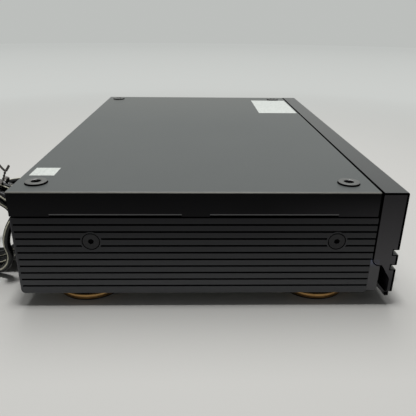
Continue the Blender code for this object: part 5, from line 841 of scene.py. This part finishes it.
def cross_outline(reach, width):
    arm = [(reach, -width / 2), (reach, width / 2), (width / 2, width / 2)]
    outline = []
    for _ in range(4):
        outline += arm
        arm = [(-y, x) for x, y in arm]
    return outline


def loop_through(bm, outline, height):
    """A closed loop of edges through the points of an outline in millimetres."""
    verts = [bm.verts.new((x * MM, y * MM, height * MM)) for x, y in outline]
    return [bm.edges.new(pair) for pair in zip(verts, verts[1:] + verts[:1])]


def only(kind, parts):
    return [part for part in parts if isinstance(part, kind)]


def driven_screw(profile, outline, depth):
    """A screw turned from a profile, with a recess of that outline sunk in its middle."""
    bm = turned(profile, SCREW_STEPS)
    rim = [edge for edge in bm.edges if edge.is_boundary]
    drive = loop_through(bm, outline, profile[0][1])
    bmesh.ops.triangle_fill(bm, use_beauty=True, edges=rim + drive)
    sunk = bmesh.ops.extrude_edge_only(bm, edges=drive)["geom"]
    floor = only(bmesh.types.BMVert, sunk)
    bmesh.ops.scale(bm, vec=(NARROWING, NARROWING, 1), verts=floor)
    bmesh.ops.translate(bm, vec=(0, 0, -depth * MM), verts=floor)
    bmesh.ops.edgeloop_fill(bm, edges=only(bmesh.types.BMEdge, sunk))
    return bm


screws = sorted(name for name in frame["nodes"] if "_screw_" in name)
for number, node in enumerate(screws):
    middle = middle_of(node)
    if node.startswith("top"):
        bm = driven_screw(TOP_SCREW, cross_outline(*CROSS), CROSS_DEPTH)
        place = (middle.x, middle.y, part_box(node)[1].z - HEAD_RISE * MM)
        stand(bm, place, UP, CROSS_SPIN + number)
    else:
        bm = driven_screw(SIDE_SCREW, round_outline(*SOCKET), SOCKET_DEPTH)
        side = math.copysign(1, middle.x)
        place = (side * max(cad_high.x, -cad_low.x), middle.y, middle.z)
        stand(bm, place, (side, 0, 0), SOCKET_SPIN)
    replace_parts(finished(node + "_fine", bm, "black_screw"), node)
print("screws with a drive:", len(screws))

# %% [markdown]
# The round feet are the one bright thing on the player: a black moulding with a gold ring pressed
# over its edge. The ring's shoulder is a quarter round, which draws the light into a thin line. The
# ring is one closed profile, so its first point is repeated as its last.

# %% Feet and their gold rings
RING = (
    (24.3, 1.7), (27.7, 1.7), (28.3, 1.9), (28.5, 2.3), (28.5, 4.3), (28.3, 5.1), (27.8, 5.8),
    (27.1, 6.15), (26.4, 6.3), (24.6, 6.2), (24.3, 5.9), (24.3, 1.7),
)
FOOT = (
    (0, 0.6), (20.5, 0.6), (21, 0.1), (21.6, 0), (26.6, 0), (27.2, 0.3), (27.7, 1.4), (24, 1.4),
    (24, 7.7), (23.5, 8.2), (15, 8.2), (15, 12.7), (2, 12.7), (2, 14.2), (0, 14.2),
)
FOOT_STEPS = 96
CORNERS = ("front_left", "front_right", "rear_left", "rear_right")
PROFILES = {"foot_": (FOOT, "foot_plastic"), "foot_ring_": (RING, "gold_ring")}

for corner in CORNERS:
    middle = middle_of("foot_" + corner)
    for word, (profile, finish) in PROFILES.items():
        bm = stand(turned(profile, FOOT_STEPS), (middle.x, middle.y, 0))
        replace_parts(finished(word + corner + "_fine", bm, finish), word + corner)
print("feet:", len(CORNERS))

# %% [markdown]
# Two blank paper labels lie on the cover. Paper that has been stuck down for decades isn't flat, so
# each sheet is a grid whose points are lifted by a few long waves, then given its thickness.

# %% Blank labels
LABEL_THICKNESS, LABEL_WAVE, LABEL_SINK = 0.12, 0.12, 1.55
LABEL_GRID = {"x_segments": 36, "y_segments": 24, "size": 0.5}
ALONG, SLANTED, ACROSS = 6, 9, 5


def label_paper():
    finish = Finish("label_paper", Specular_IOR_Level=0.3)
    fibre = finish.noise(1.2, 4, 0.7)
    crease = finish.noise(16, 2, 0.5, (1, 2.4, 1)).band(0.46, 0.54)
    # Painted shade darkens the paper along its creases.
    painted_fold_shading = crease * (1 - crease) * 4
    colour = finish.blend(finish.noise(12, 4), (0.56, 0.59, 0.56), (0.67, 0.695, 0.66))
    finish.wear(
        Base_Color=finish.blend(painted_fold_shading * 0.25, colour, (0.42, 0.45, 0.42)),
        Roughness=0.42 + fibre * 0.2,
        Normal=finish.bump(fibre, 0.02, Normal=finish.bump(crease, 0.15)),
    )


def raise_sheet(bm, faces, thickness):
    """Extrude a flat sheet and lift its new side by a thickness in millimetres."""
    extruded = bmesh.ops.extrude_face_region(bm, geom=faces)["geom"]
    top = only(bmesh.types.BMVert, extruded)
    bmesh.ops.translate(bm, vec=(0, 0, thickness * MM), verts=top)


def label(name, x_range, y_range, waves):
    """A thin creased sheet on the cover between two places on each axis, in millimetres."""
    (left, right), (front, back) = mm(*x_range), mm(*y_range)
    bm = bmesh.new()
    bmesh.ops.create_grid(bm, **LABEL_GRID)
    for vert in bm.verts:
        x, y, _ = vert.co
        wave = math.sin(waves * x * ALONG + y * SLANTED) * math.cos(y * waves * ACROSS)
        inside = (0.25 - x**2) * (0.25 - y**2) * 16
        vert.co.z = LABEL_WAVE * MM * (1 + wave) * inside
    size = Matrix.Diagonal((right - left, back - front, 1, 1))
    middle = ((left + right) / 2, (front + back) / 2, cad_high.z - LABEL_SINK * MM)
    bmesh.ops.transform(bm, matrix=Matrix.Translation(middle) @ size, verts=bm.verts)
    raise_sheet(bm, bm.faces[:], LABEL_THICKNESS)
    finished(name, bm, "label_paper")


label_paper()
label("small_label", (-178, -158), (122.8, 142.5), 2)
label("large_label", (85.5, 185.5), (-121.7, -71.3), 3)
print("labels lie", LABEL_SINK, "mm below the top of the screws")

# %% [markdown]
# Where the lead leaves the case it has a bush. A bush like this is moulded soft, with deep rings,
# so the cord can't be bent sharply. Its profile repeats one ring five times, each smaller than the
# last.

# %% Strain relief
BUSH_RINGS, RING_PITCH, RING_TAPER = 5, 4.7, 0.36
BUSH_STEPS = 40
BUSH_FOOT = [
    (0, -3.8), (6.1, -3.8), (6.1, -1.9), (5, -1.9), (5, 0), (6.7, 0), (7, 0.4), (7, 1.6),
    (6.6, 2.1), (5.5, 2.4),
]
BUSH_RING = ((-0.15, 0), (0, 0.5), (-0.1, 2.7), (-0.4, 3), (-1.1, 3.3), (-1.1, 4.2))
BUSH_TIP = [(3.7, 26.6), (3.4, 27), (0, 27)]
FIRST_RING = (5.6, 3)
RELIEF_RISE = 0.3 * MM

rings = [
    (FIRST_RING[0] - ring * RING_TAPER + wider, FIRST_RING[1] + ring * RING_PITCH + higher)
    for ring in range(BUSH_RINGS)
    for wider, higher in BUSH_RING
]
middle = middle_of("strain_relief")
sheet_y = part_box("rear_panel")[1].y
bm = turned(BUSH_FOOT + rings + BUSH_TIP, BUSH_STEPS)
stand(bm, (middle.x, sheet_y + RELIEF_RISE, middle.z), BACKWARD)
relief = finished("strain_relief_fine", bm, "black_rubber")
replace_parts(relief, "strain_relief")
print("rings of the bush:", BUSH_RINGS)

# %% [markdown]
# The plug is a loft: a row of rounded outlines, each a circle that was stretched and squared, and
# bridged to the next. Between its waist and its face every second outline is a touch smaller, which
# makes the ridges of the grip.

# %% Plug
GRIP_RIDGES, GRIP_START, GRIP_PITCH = 6, 20.2, 2.2
RIDGE, VALLEY = (10.2, 7.4, 0.7), (9.6, 6.9, 0.7)
NECK_STATIONS = [
    (0, 4.1, 4.1, 0.9), (0.6, 4.4, 4.4, 1), (11, 4.5, 4.5, 1), (14.5, 8, 6.6, 0.9),
    (17, 9.4, 7.2, 0.75), (19, 10, 7.4, 0.7),
]
GRIP_STATIONS = [
    (GRIP_START + ridge * GRIP_PITCH + step, *shape)
    for ridge in range(GRIP_RIDGES)
    for step, shape in ((0, RIDGE), (0.8, RIDGE), (1.1, VALLEY), (1.9, VALLEY))
]
FACE_STATIONS = [
    (34, 11.4, 7.7, 0.62), (36, 12, 8, 0.6), (41.4, 12, 8, 0.6), (42, 11.5, 7.5, 0.6),
]
NECK_END, NECK_RUN = 11, 4
CORD_LIFT = 1.4
PLUG_SIDES = 40


def squared(value, power):
    """A sine or cosine pushed out towards 1 or -1, which squares a circle."""
    return math.copysign(abs(value) ** power, value)


def circle_edges(bm, segments, matrix=Matrix()):
    """A circle of radius 1: its points and the edges between them."""
    verts = bmesh.ops.create_circle(bm, segments=segments, radius=1, matrix=matrix)["verts"]
    return verts, [edge for edge in bm.edges if all(vert in verts for vert in edge.verts)]


def skin(bm, rings):
    """Bridge each ring of edges to the next and close both ends."""
    for ring, following in zip(rings, rings[1:]):
        bmesh.ops.bridge_loops(bm, edges=ring + following)
    for end in (rings[0], rings[-1]):
        bmesh.ops.edgeloop_fill(bm, edges=end)


def squared_ring(bm, reach, half_y, half_z, power, middle_z):
    """A closed loop across X: a circle whose points are pushed out towards a rectangle."""
    verts, edges = circle_edges(bm, PLUG_SIDES)
    for vert in verts:
        y, z = squared(vert.co.x, power) * half_y, squared(vert.co.y, power) * half_z
        vert.co = Vector((reach, y, z + middle_z)) * MM
    return edges


plug_low, plug_high = (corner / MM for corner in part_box("mains_plug"))
plug_y = (plug_low.y + plug_high.y) / 2
plug_z = (plug_low.z + plug_high.z) / 2
cord_z = (COIL_MIDDLE.z - COIL_RADIUS) / MM + CORD_LIFT

bm = bmesh.new()
outlines = []
for reach, *shape in NECK_STATIONS + GRIP_STATIONS + FACE_STATIONS:
    neck = 1 - min(1, max(0, (reach - NECK_END) / NECK_RUN))
    outlines.append(squared_ring(bm, reach, *shape, plug_z + neck * (cord_z - plug_z)))
skin(bm, outlines)
bmesh.ops.translate(bm, vec=(plug_low.x * MM, plug_y * MM, 0), verts=bm.verts)
plug_body = finished("plug_body", bm, "black_lead", sharp=50)
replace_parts(plug_body, "mains_plug")
print("outlines of the plug:", len(outlines))

# %% [markdown]
# The blades of the plug are a piece of their own, because they are metal. Each is a block with
# rounded edges, and so are a few small things further on.

# %% Blades of the plug
BLADE_START, BLADE_APART, BLADE_HALF, BLADE_RISE = 40, 6.35, 0.75, 3.2
BLADE_ROUNDING = 0.35, 3


def add_block(bm, low, high, edge=0, steps=2):
    """A block between two corners in millimetres, its edges rounded by that much."""
    size = Vector(high) - Vector(low)
    place = Matrix.Translation((Vector(low) + Vector(high)) / 2 * MM)
    matrix = place @ Matrix.Diagonal((*size * MM, 1))
    corners = bmesh.ops.create_cube(bm, size=1, matrix=matrix)["verts"]
    if edge:
        edges = list({line for corner in corners for line in corner.link_edges})
        rounding = {"segments": steps, "profile": 0.5, "affect": "EDGES", "material": -1}
        bmesh.ops.bevel(bm, geom=edges, offset=edge * MM, **rounding)


bm = bmesh.new()
for y in (plug_y - BLADE_APART, plug_y + BLADE_APART):
    root = (plug_low.x + BLADE_START, y - BLADE_HALF, plug_z - BLADE_RISE)
    tip = (plug_high.x, y + BLADE_HALF, plug_z + BLADE_RISE)
    add_block(bm, root, tip, *BLADE_ROUNDING)
plug_blades = finished("plug_blades", bm, "zinc_steel")
print("blades are", 2 * BLADE_APART, "mm apart")

# %% [markdown]
# The coil is held by a twist tie: a flat plastic ribbon with a wire inside, wound once round the
# turns, twisted, and its two ends left standing. Every stretch of it is the same thing, a flattened
# circle carried along a line, so one helper sweeps them all. It is modelled over the middle of the
# cord's turns with +Z pointing away from the coil, and then turned about the coil's axis.

# %% Twist tie
TIE_TURN = math.radians(22)
TIE_LOW, TIE_HIGH, TIE_HALF = 22.6, 43.4, 14
TIE_SQUARENESS = 0.45
STEM_LENGTH, STEM_TWIST = 9.6, math.pi * 3.5
ARMS = {-1: (4.2, 5.6), 1: (5.6, 6.2)}
ARM_START, ARM_SIDE = 0.8, 1.2
BAND_STEPS, STEM_STEPS, ARM_STEPS, RIBBON_SIDES = 48, 28, 10, 12
BAND_HALVES, STEM_HALVES, ARM_HALVES = (1.5, 0.55), (1, 0.6), (1.1, 0.6)
BLUNT = 0.55
TIE_TONES = (0.075, 0.068, 0.062), (0.14, 0.128, 0.118)


def swept(bm, stations, half_width, half_thickness):
    """A flattened tube through stations of (place, direction across) in millimetres."""
    rings = []
    places = [Vector(place) for place, _ in stations]
    for index, (_, across) in enumerate(stations):
        before, after = places[max(0, index - 1)], places[min(len(places) - 1, index + 1)]
        along = (after - before).normalized()
        wide = Vector(across)
        wide = (wide - along * wide.dot(along)).normalized()
        end = BLUNT if index in (0, len(stations) - 1) else 1
        thin = along.cross(wide) * half_thickness * end
        axes = Matrix((wide * half_width * end, thin, along)).transposed().to_4x4()
        matrix = Matrix.Translation(places[index] * MM) @ Matrix.Scale(MM, 4) @ axes
        rings.append(circle_edges(bm, RIBBON_SIDES, matrix)[1])
    skin(bm, rings)


def band_stations():
    """Once round the turns of the cord, with round corners, starting at the top."""
    middle, half_height = (TIE_LOW + TIE_HIGH) / 2, (TIE_HIGH - TIE_LOW) / 2
    stations = []
    for turn in even_steps(2 * math.pi, BAND_STEPS):
        x = squared(math.cos(math.pi / 2 + turn), TIE_SQUARENESS) * TIE_HALF
        z = squared(math.sin(math.pi / 2 + turn), TIE_SQUARENESS) * half_height + middle
        stations.append(((x, 0, z), (0, 1, 0)))
    return stations


def stem_stations():
    """The two ends twisted round each other, away from the coil."""
    rise = STEM_LENGTH / STEM_TWIST
    turns = even_steps(STEM_TWIST, STEM_STEPS)
    return [((0, 0, TIE_HIGH + turn * rise), (math.cos(turn), math.sin(turn), 0)) for turn in turns]


def arm_stations(side):
    """One loose end: it stands upright from the top of the stem, leans out and curls at its tip."""
    upright = Matrix.Rotation(-TIE_TURN, 3, "X")
    spread, rise = ARMS[side]
    stations = []
    for share in even_steps(1, ARM_STEPS):
        curl, spread_out = ARM_SIDE * side * share**2, spread * side * share**0.9
        out = Vector((curl, spread_out, rise * share - ARM_START))
        place = Vector((0, 0, TIE_HIGH + STEM_LENGTH)) + upright @ out
        stations.append((place, upright @ Vector((0.25, 1, -0.8 * side))))
    return stations


plain_finish("tie_plastic", TIE_TONES, (1.1, 3), (0.35, 0.2), relief=0.08, Specular_IOR_Level=0.4)
bm = bmesh.new()
swept(bm, band_stations(), *BAND_HALVES)
swept(bm, stem_stations(), *STEM_HALVES)
for side in ARMS:
    swept(bm, arm_stations(side), *ARM_HALVES)
tilt = Matrix.Translation(COIL_MIDDLE) @ Matrix.Rotation(TIE_TURN, 4, "X")
bmesh.ops.transform(bm, matrix=tilt, verts=bm.verts)
tie = finished("coil_tie", bm, "tie_plastic", sharp=60)
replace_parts(tie, "twist_tie")
print("tie is", round(tie.dimensions.z / MM, 1), "mm high")

# %% [markdown]
# The level knob is turned, and its edge is fluted for the fingers. The flutes aren't cut: the spin
# leaves six columns of points to each flute, and those columns are pulled in by a cosine, which
# bends the wall in and out without a single new face. Its pointer is a white line laid on the face.

# %% Level knob
KNOB_FLUTES, COLUMNS = 16, 6
FLUTE_DEPTH = 0.045
FLUTED_RADIUS, FLUTES_LOW, FLUTES_HIGH = mm(7.85, 1.5, 10.8)
KNOB = (
    (0, 12), (6.2, 12), (6.9, 11.9), (7.5, 11.6), (7.9, 11), (8, 10.2), (8, 6), (8, 1.8),
    (8.3, 1.2), (8.5, 0.8), (8.5, 0.3), (3, 0.3), (3, -12), (0, -12),
)
POINTER = (-0.45, 2.6, 11.9), (0.45, 6.6, 12.08), 0.04, 1
WHITE_PRINT = (0.62, 0.62, 0.6), (0.25, 0.25, 0.25)

plain_finish("white_print", WHITE_PRINT, (0.7, 4), (0.5, 0.2), edge=(0.6, 0.68), part=0.5)
middle = middle_of("level_knob")
front_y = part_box("front_panel")[0].y
knob_place = (middle.x, front_y, middle.z)
bm = turned(KNOB, KNOB_FLUTES * COLUMNS)
for vert in bm.verts:
    x, y, z = vert.co
    if math.hypot(x, y) > FLUTED_RADIUS and FLUTES_LOW < z < FLUTES_HIGH:
        wave = math.cos(math.atan2(y, x) * KNOB_FLUTES)
        shrink = 1 - FLUTE_DEPTH * (1 - wave) / 2
        vert.co = (x * shrink, y * shrink, z)
stand(bm, knob_place, FORWARD)
knob = finished("level_knob_fine", bm, "black_front_plastic", body="knob_body", sharp=40)
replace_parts(knob, "level_knob")

bm = bmesh.new()
add_block(bm, *POINTER)
stand(bm, knob_place, FORWARD)
finished("level_pointer", bm, "white_print", "knob_body")
print("flutes round the knob:", KNOB_FLUTES)

# %% [markdown]
# Printed signs are thin shapes laid on the surface, a twentieth of a millimetre thick. They are the
# plain signs that every disc player has: a dot scale round the knob, and triangles, bars and a
# square on the keys. Each is an outline filled with a face and extruded.

# %% Dots and signs on the front
PRINT = 0.05
DOTS, FIRST_DOT, DOT_STEP = 11, math.radians(225), math.radians(-27)
DOT_RING, DOT_RADIUS, DOT_SIDES = 10.6, 0.35, 16


def print_sign(name, outlines, place, body):
    """Flat outlines in millimetres, raised by the thickness of the print from half below it."""
    bm = bmesh.new()
    for outline in outlines:
        loop = loop_through(bm, outline, -PRINT / 2)
        raise_sheet(bm, bmesh.ops.edgeloop_fill(bm, edges=loop)["faces"], PRINT)
    finished(name, stand(bm, place, FORWARD), "white_print", body)


def bar(x, half_width, half_height, y=0):
    left, right, low, high = x - half_width, x + half_width, y - half_height, y + half_height
    return [(left, low), (right, low), (right, high), (left, high)]


def arrow(x, reach, half_height):
    """A triangle that points along X, or back where reach is negative."""
    corners = [(x, -half_height), (x + reach, 0), (x, half_height)]
    return corners if reach > 0 else corners[::-1]


SIGNS = {
    "play_button": (arrow(-2.2, 4.6, 2.4),),
    "stop_button": (bar(0, 2, 2),),
    "skip_forward_button": (arrow(-3.4, 3.1, 1.9), arrow(-0.3, 3.1, 1.9), bar(3.2, 0.35, 1.9)),
    "skip_back_button": (arrow(3.4, -3.1, 1.9), arrow(0.3, -3.1, 1.9), bar(-3.2, 0.35, 1.9)),
    "open_button": ([(-2.6, -0.5), (2.6, -0.5), (0, 2.1)], bar(0, 2.6, 0.45, -1.7)),
    "power_button": (bar(0, 0.35, 1.6),),
}
turns = [FIRST_DOT + DOT_STEP * step for step in range(DOTS)]
places = [(DOT_RING * math.cos(turn), DOT_RING * math.sin(turn)) for turn in turns]
dots = [round_outline(DOT_RADIUS, DOT_SIDES, *place) for place in places]
print_sign("level_scale", dots, knob_place, "chassis")
bodies = {node: body for body, nodes in record["behaviour"]["bodies"].items() for node in nodes}
for key, outlines in SIGNS.items():
    middle = middle_of(key)
    print_sign(key + "_sign", outlines, (middle.x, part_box(key)[0].y, middle.z), bodies[key])
print("signs:", len(SIGNS))

# %% [markdown]
# A headphone socket is held by a ring nut, and a pair of line sockets by their own barrels. Both
# are rings with a bore, turned from a closed profile. A red and a white washer tell the two
# channels apart, as on every pair of such sockets, and each has a collar of its own colour.

# %% Rings of the sockets
NUT = (
    (3.15, -0.3), (6.1, -0.3), (6.15, 0.3), (6.15, 1), (5.8, 1.5), (5.2, 1.8), (3.7, 1.8),
    (3.3, 1.5), (3.15, 1), (3.15, -0.3),
)
BARREL = (
    (3.3, 0), (4.3, 0), (4.3, 9.2), (4.15, 9.55), (3.9, 9.65), (3.55, 9.6), (3.35, 9.3), (3.3, 0),
)
WASHER = (1.7, 8.9), (3.35, 8.9), (3.35, 9.3), (3.2, 9.4), (1.9, 9.4), (1.7, 9.3), (1.7, 8.9)
COLLAR = (4.25, 0), (6.2, 0), (6.2, 1.6), (5.9, 2.1), (5.4, 2.2), (4.25, 2.2), (4.25, 0)
CHANNELS = {"white": (131, (0.62, 0.62, 0.6)), "red": (154, (0.42, 0.016, 0.012))}
SOCKET_HEIGHT = 36
NUT_STEPS, LINE_STEPS = 64, 48
WASHER_SHADE = 0.75

middle = middle_of("phones_jack")
nut = stand(turned(NUT, NUT_STEPS), (middle.x, front_y, middle.z), FORWARD)
finished("phones_nut", nut, "black_screw")

for word, (x, colour) in CHANNELS.items():
    washer = word + "_washer"
    shade = tuple(channel * WASHER_SHADE for channel in colour)
    plain_finish(washer, (colour, shade), (3, 3), (0.35, 0.15))
    for part, profile, finish, slot in (
        ("barrel", BARREL, "motor_steel", "motor_steel"),
        ("washer", WASHER, washer, "inner_black_plastic"),
        ("collar", COLLAR, washer, "inner_black_plastic"),
    ):
        bm = turned(profile, LINE_STEPS)
        stand(bm, (x * MM, sheet_y, SOCKET_HEIGHT * MM), BACKWARD)
        finished(word + "_line_" + part, bm, finish)
print("line sockets:", len(CHANNELS))

# %% [markdown]
# The rear sheet is held by small black screws along its edges. They reuse the screw function with a
# smaller profile.

# %% Screws of the rear sheet
REAR_SCREW = (2.4, 1.5), (2.75, 1.35), (3, 1), (3, 0), (1.4, 0), (1.4, -4), (0, -4)
REAR_PLACES = [(x, z) for x in (-196, 0, 196) for z in (20, 88)]
REAR_PLACES += [(142.5, 36), (-60, 20), (66, 88)]
REAR_CROSS, REAR_DEPTH, SPIN_STEP = (1.7, 0.75), 1.1, 0.7
DARK_METAL = (0.035, 0.035, 0.037), (0.075, 0.075, 0.078)

plain_finish("dark_screw", DARK_METAL, (0.8, 3), (0.28, 0.15), Metallic=0.8)
for number, (x, z) in enumerate(REAR_PLACES):
    bm = driven_screw(REAR_SCREW, cross_outline(*REAR_CROSS), REAR_DEPTH)
    stand(bm, (x * MM, sheet_y, z * MM), BACKWARD, number * SPIN_STEP)
    finished("rear_screw_" + str(number + 1), bm, "dark_screw")
print("rear screws:", len(REAR_PLACES))

# %% [markdown]
# In the photo the grooves of a side panel stop just short of its rear edge, so the edge runs
# straight down. The packed panel's grooves run out at the back, so ten small stops a side close
# them, a hair below the faces around them so that no two faces lie in one plane.

# %% Close the grooves at the rear edge
GROOVES, FIRST_GROOVE, GROOVE_PITCH = 10, 5.3, 5.77
GROOVE_HALF, GROOVE_DEPTH = 0.77, 1.8
STOP_LENGTH, STOP_RECESS = 1.8, 0.03

for word, outward in (("left", -1), ("right", 1)):
    low, high = (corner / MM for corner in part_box("side_panel_" + word))
    face = high.x if outward > 0 else low.x
    near, far = sorted((face - outward * STOP_RECESS, face - outward * GROOVE_DEPTH))
    bm = bmesh.new()
    for z in (high.z - FIRST_GROOVE - number * GROOVE_PITCH for number in range(GROOVES)):
        start = (near, high.y - STOP_LENGTH, z - GROOVE_HALF)
        add_block(bm, start, (far, high.y - STOP_RECESS, z + GROOVE_HALF))
    finished("groove_stops_" + word, bm, "ribbed_black_plastic")
print("groove stops:", 2 * GROOVES)

# %% [markdown]
# The floor is one round sheet of pale paper. Far from the player it turns, ring by ring, into the
# even grey of the world, so no line shows where the floor ends. Only the camera and what mirrors it
# see that grey: the Light Path node keeps it from lighting anything.

# %% Floor
FLOOR_RADIUS, FLOOR_SIDES = 4, 96
NEAR_TONE, FAR_TONE = (0.585, 0.6, 0.582), (0.505, 0.52, 0.505)
FRONT_TONE = (0.61, 0.575, 0.54)
FADE, FAR_FADE = (0.27, 1), (1.2, 3.5)
FRONT_FADE, SIDE_FADE = (0.1, -0.5), (-0.2, -0.6)
NO_COLOUR = (0, 0, 0)


def seen_by(nodes, *kinds):
    """1 for rays of those kinds, which only look, and 0 for the rays that carry light."""
    first, *others = (nodes.node("ShaderNodeLightPath", output=f"Is {kind} Ray") for kind in kinds)
    for other in others:
        first = first.larger(other)
    return first


def paper():
    finish = Finish("paper", Emission_Strength=1, Specular_IOR_Level=0.1)
    x, y, _ = finish.axes()
    distance = (x * x + y * y) ** 0.5
    far = distance.band(*FADE) * seen_by(finish, "Camera", "Glossy", "Transmission")
    near_paper = finish.blend(finish.noise(500, 3), (0.58, 0.575, 0.55), (0.63, 0.625, 0.6))
    far_paper = finish.blend(distance.band(*FAR_FADE), NEAR_TONE, FAR_TONE)
    far_paper = finish.blend(y.band(*FRONT_FADE) * x.band(*SIDE_FADE), far_paper, FRONT_TONE)
    finish.wear(
        Base_Color=finish.blend(far, near_paper, NO_COLOUR),
        Emission_Color=finish.blend(far, NO_COLOUR, far_paper),
        Roughness=0.85 + finish.noise(2.5, 3) * 0.1,
    )


def round_floor():
    bm = bmesh.new()
    bmesh.ops.create_circle(bm, cap_ends=True, radius=FLOOR_RADIUS, segments=FLOOR_SIDES)
    paper()
    mesh_object("floor", bm, "paper")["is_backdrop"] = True


round_floor()
print("floor is", 2 * FLOOR_RADIUS, "m across")

# %% [markdown]
# The light comes from a wide soft lamp on the right, a small lamp over the left side and a dim,
# plain world. Both lamps are turned towards the middle of the floor.

# %% World and lamps
WORLD_COLOUR, WORLD_STRENGTH = (0.98, 0.99, 1), 0.12
LAMP_HEIGHT = 1.5
LAMPS = {"soft_lamp": (0.4, 1.05, 14), "key_lamp": (-0.225, 0.2, 11)}


def plain_world():
    """Plain light for everything, and an even pale grey for whoever looks past the floor."""
    world = bpy.data.worlds.new("world")
    world.use_nodes = True
    nodes = Nodes(world.node_tree)
    light, surface = (nodes.tree.nodes[name] for name in ("Background", "World Output"))
    nodes.feed(light.inputs["Color"], WORLD_COLOUR)
    nodes.feed(light.inputs["Strength"], WORLD_STRENGTH)
    seen = nodes.node("ShaderNodeBackground", None, {"Color": FAR_TONE})
    mixed = {0: seen_by(nodes, "Camera", "Glossy"), 1: Value(nodes, light.outputs[0]), 2: seen}
    nodes.feed(surface.inputs["Surface"], nodes.node("ShaderNodeMixShader", None, mixed))
    bpy.context.scene.world = world


def lamp(name, x, width, power):
    """A square soft lamp of that width above the table, turned towards its middle."""
    light = bpy.data.lights.new(name, "AREA")
    light.size, light.energy = width, power
    thing = add_object(name, light)
    thing.location = Vector((x, 0, LAMP_HEIGHT))
    thing.rotation_euler = (-thing.location).to_track_quat("-Z", "Y").to_euler()


plain_world()
for name, (x, width, power) in LAMPS.items():
    lamp(name, x, width, power)
print("lamps:", len(LAMPS))

# %% [markdown]
# Last, the box of everything that shows is held against the box of the packed parts, and the
# largest overhang is printed.

low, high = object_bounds()
print("largest overhang in mm:", round(max(*(cad_low - low), *(high - cad_high)) / MM, 2))
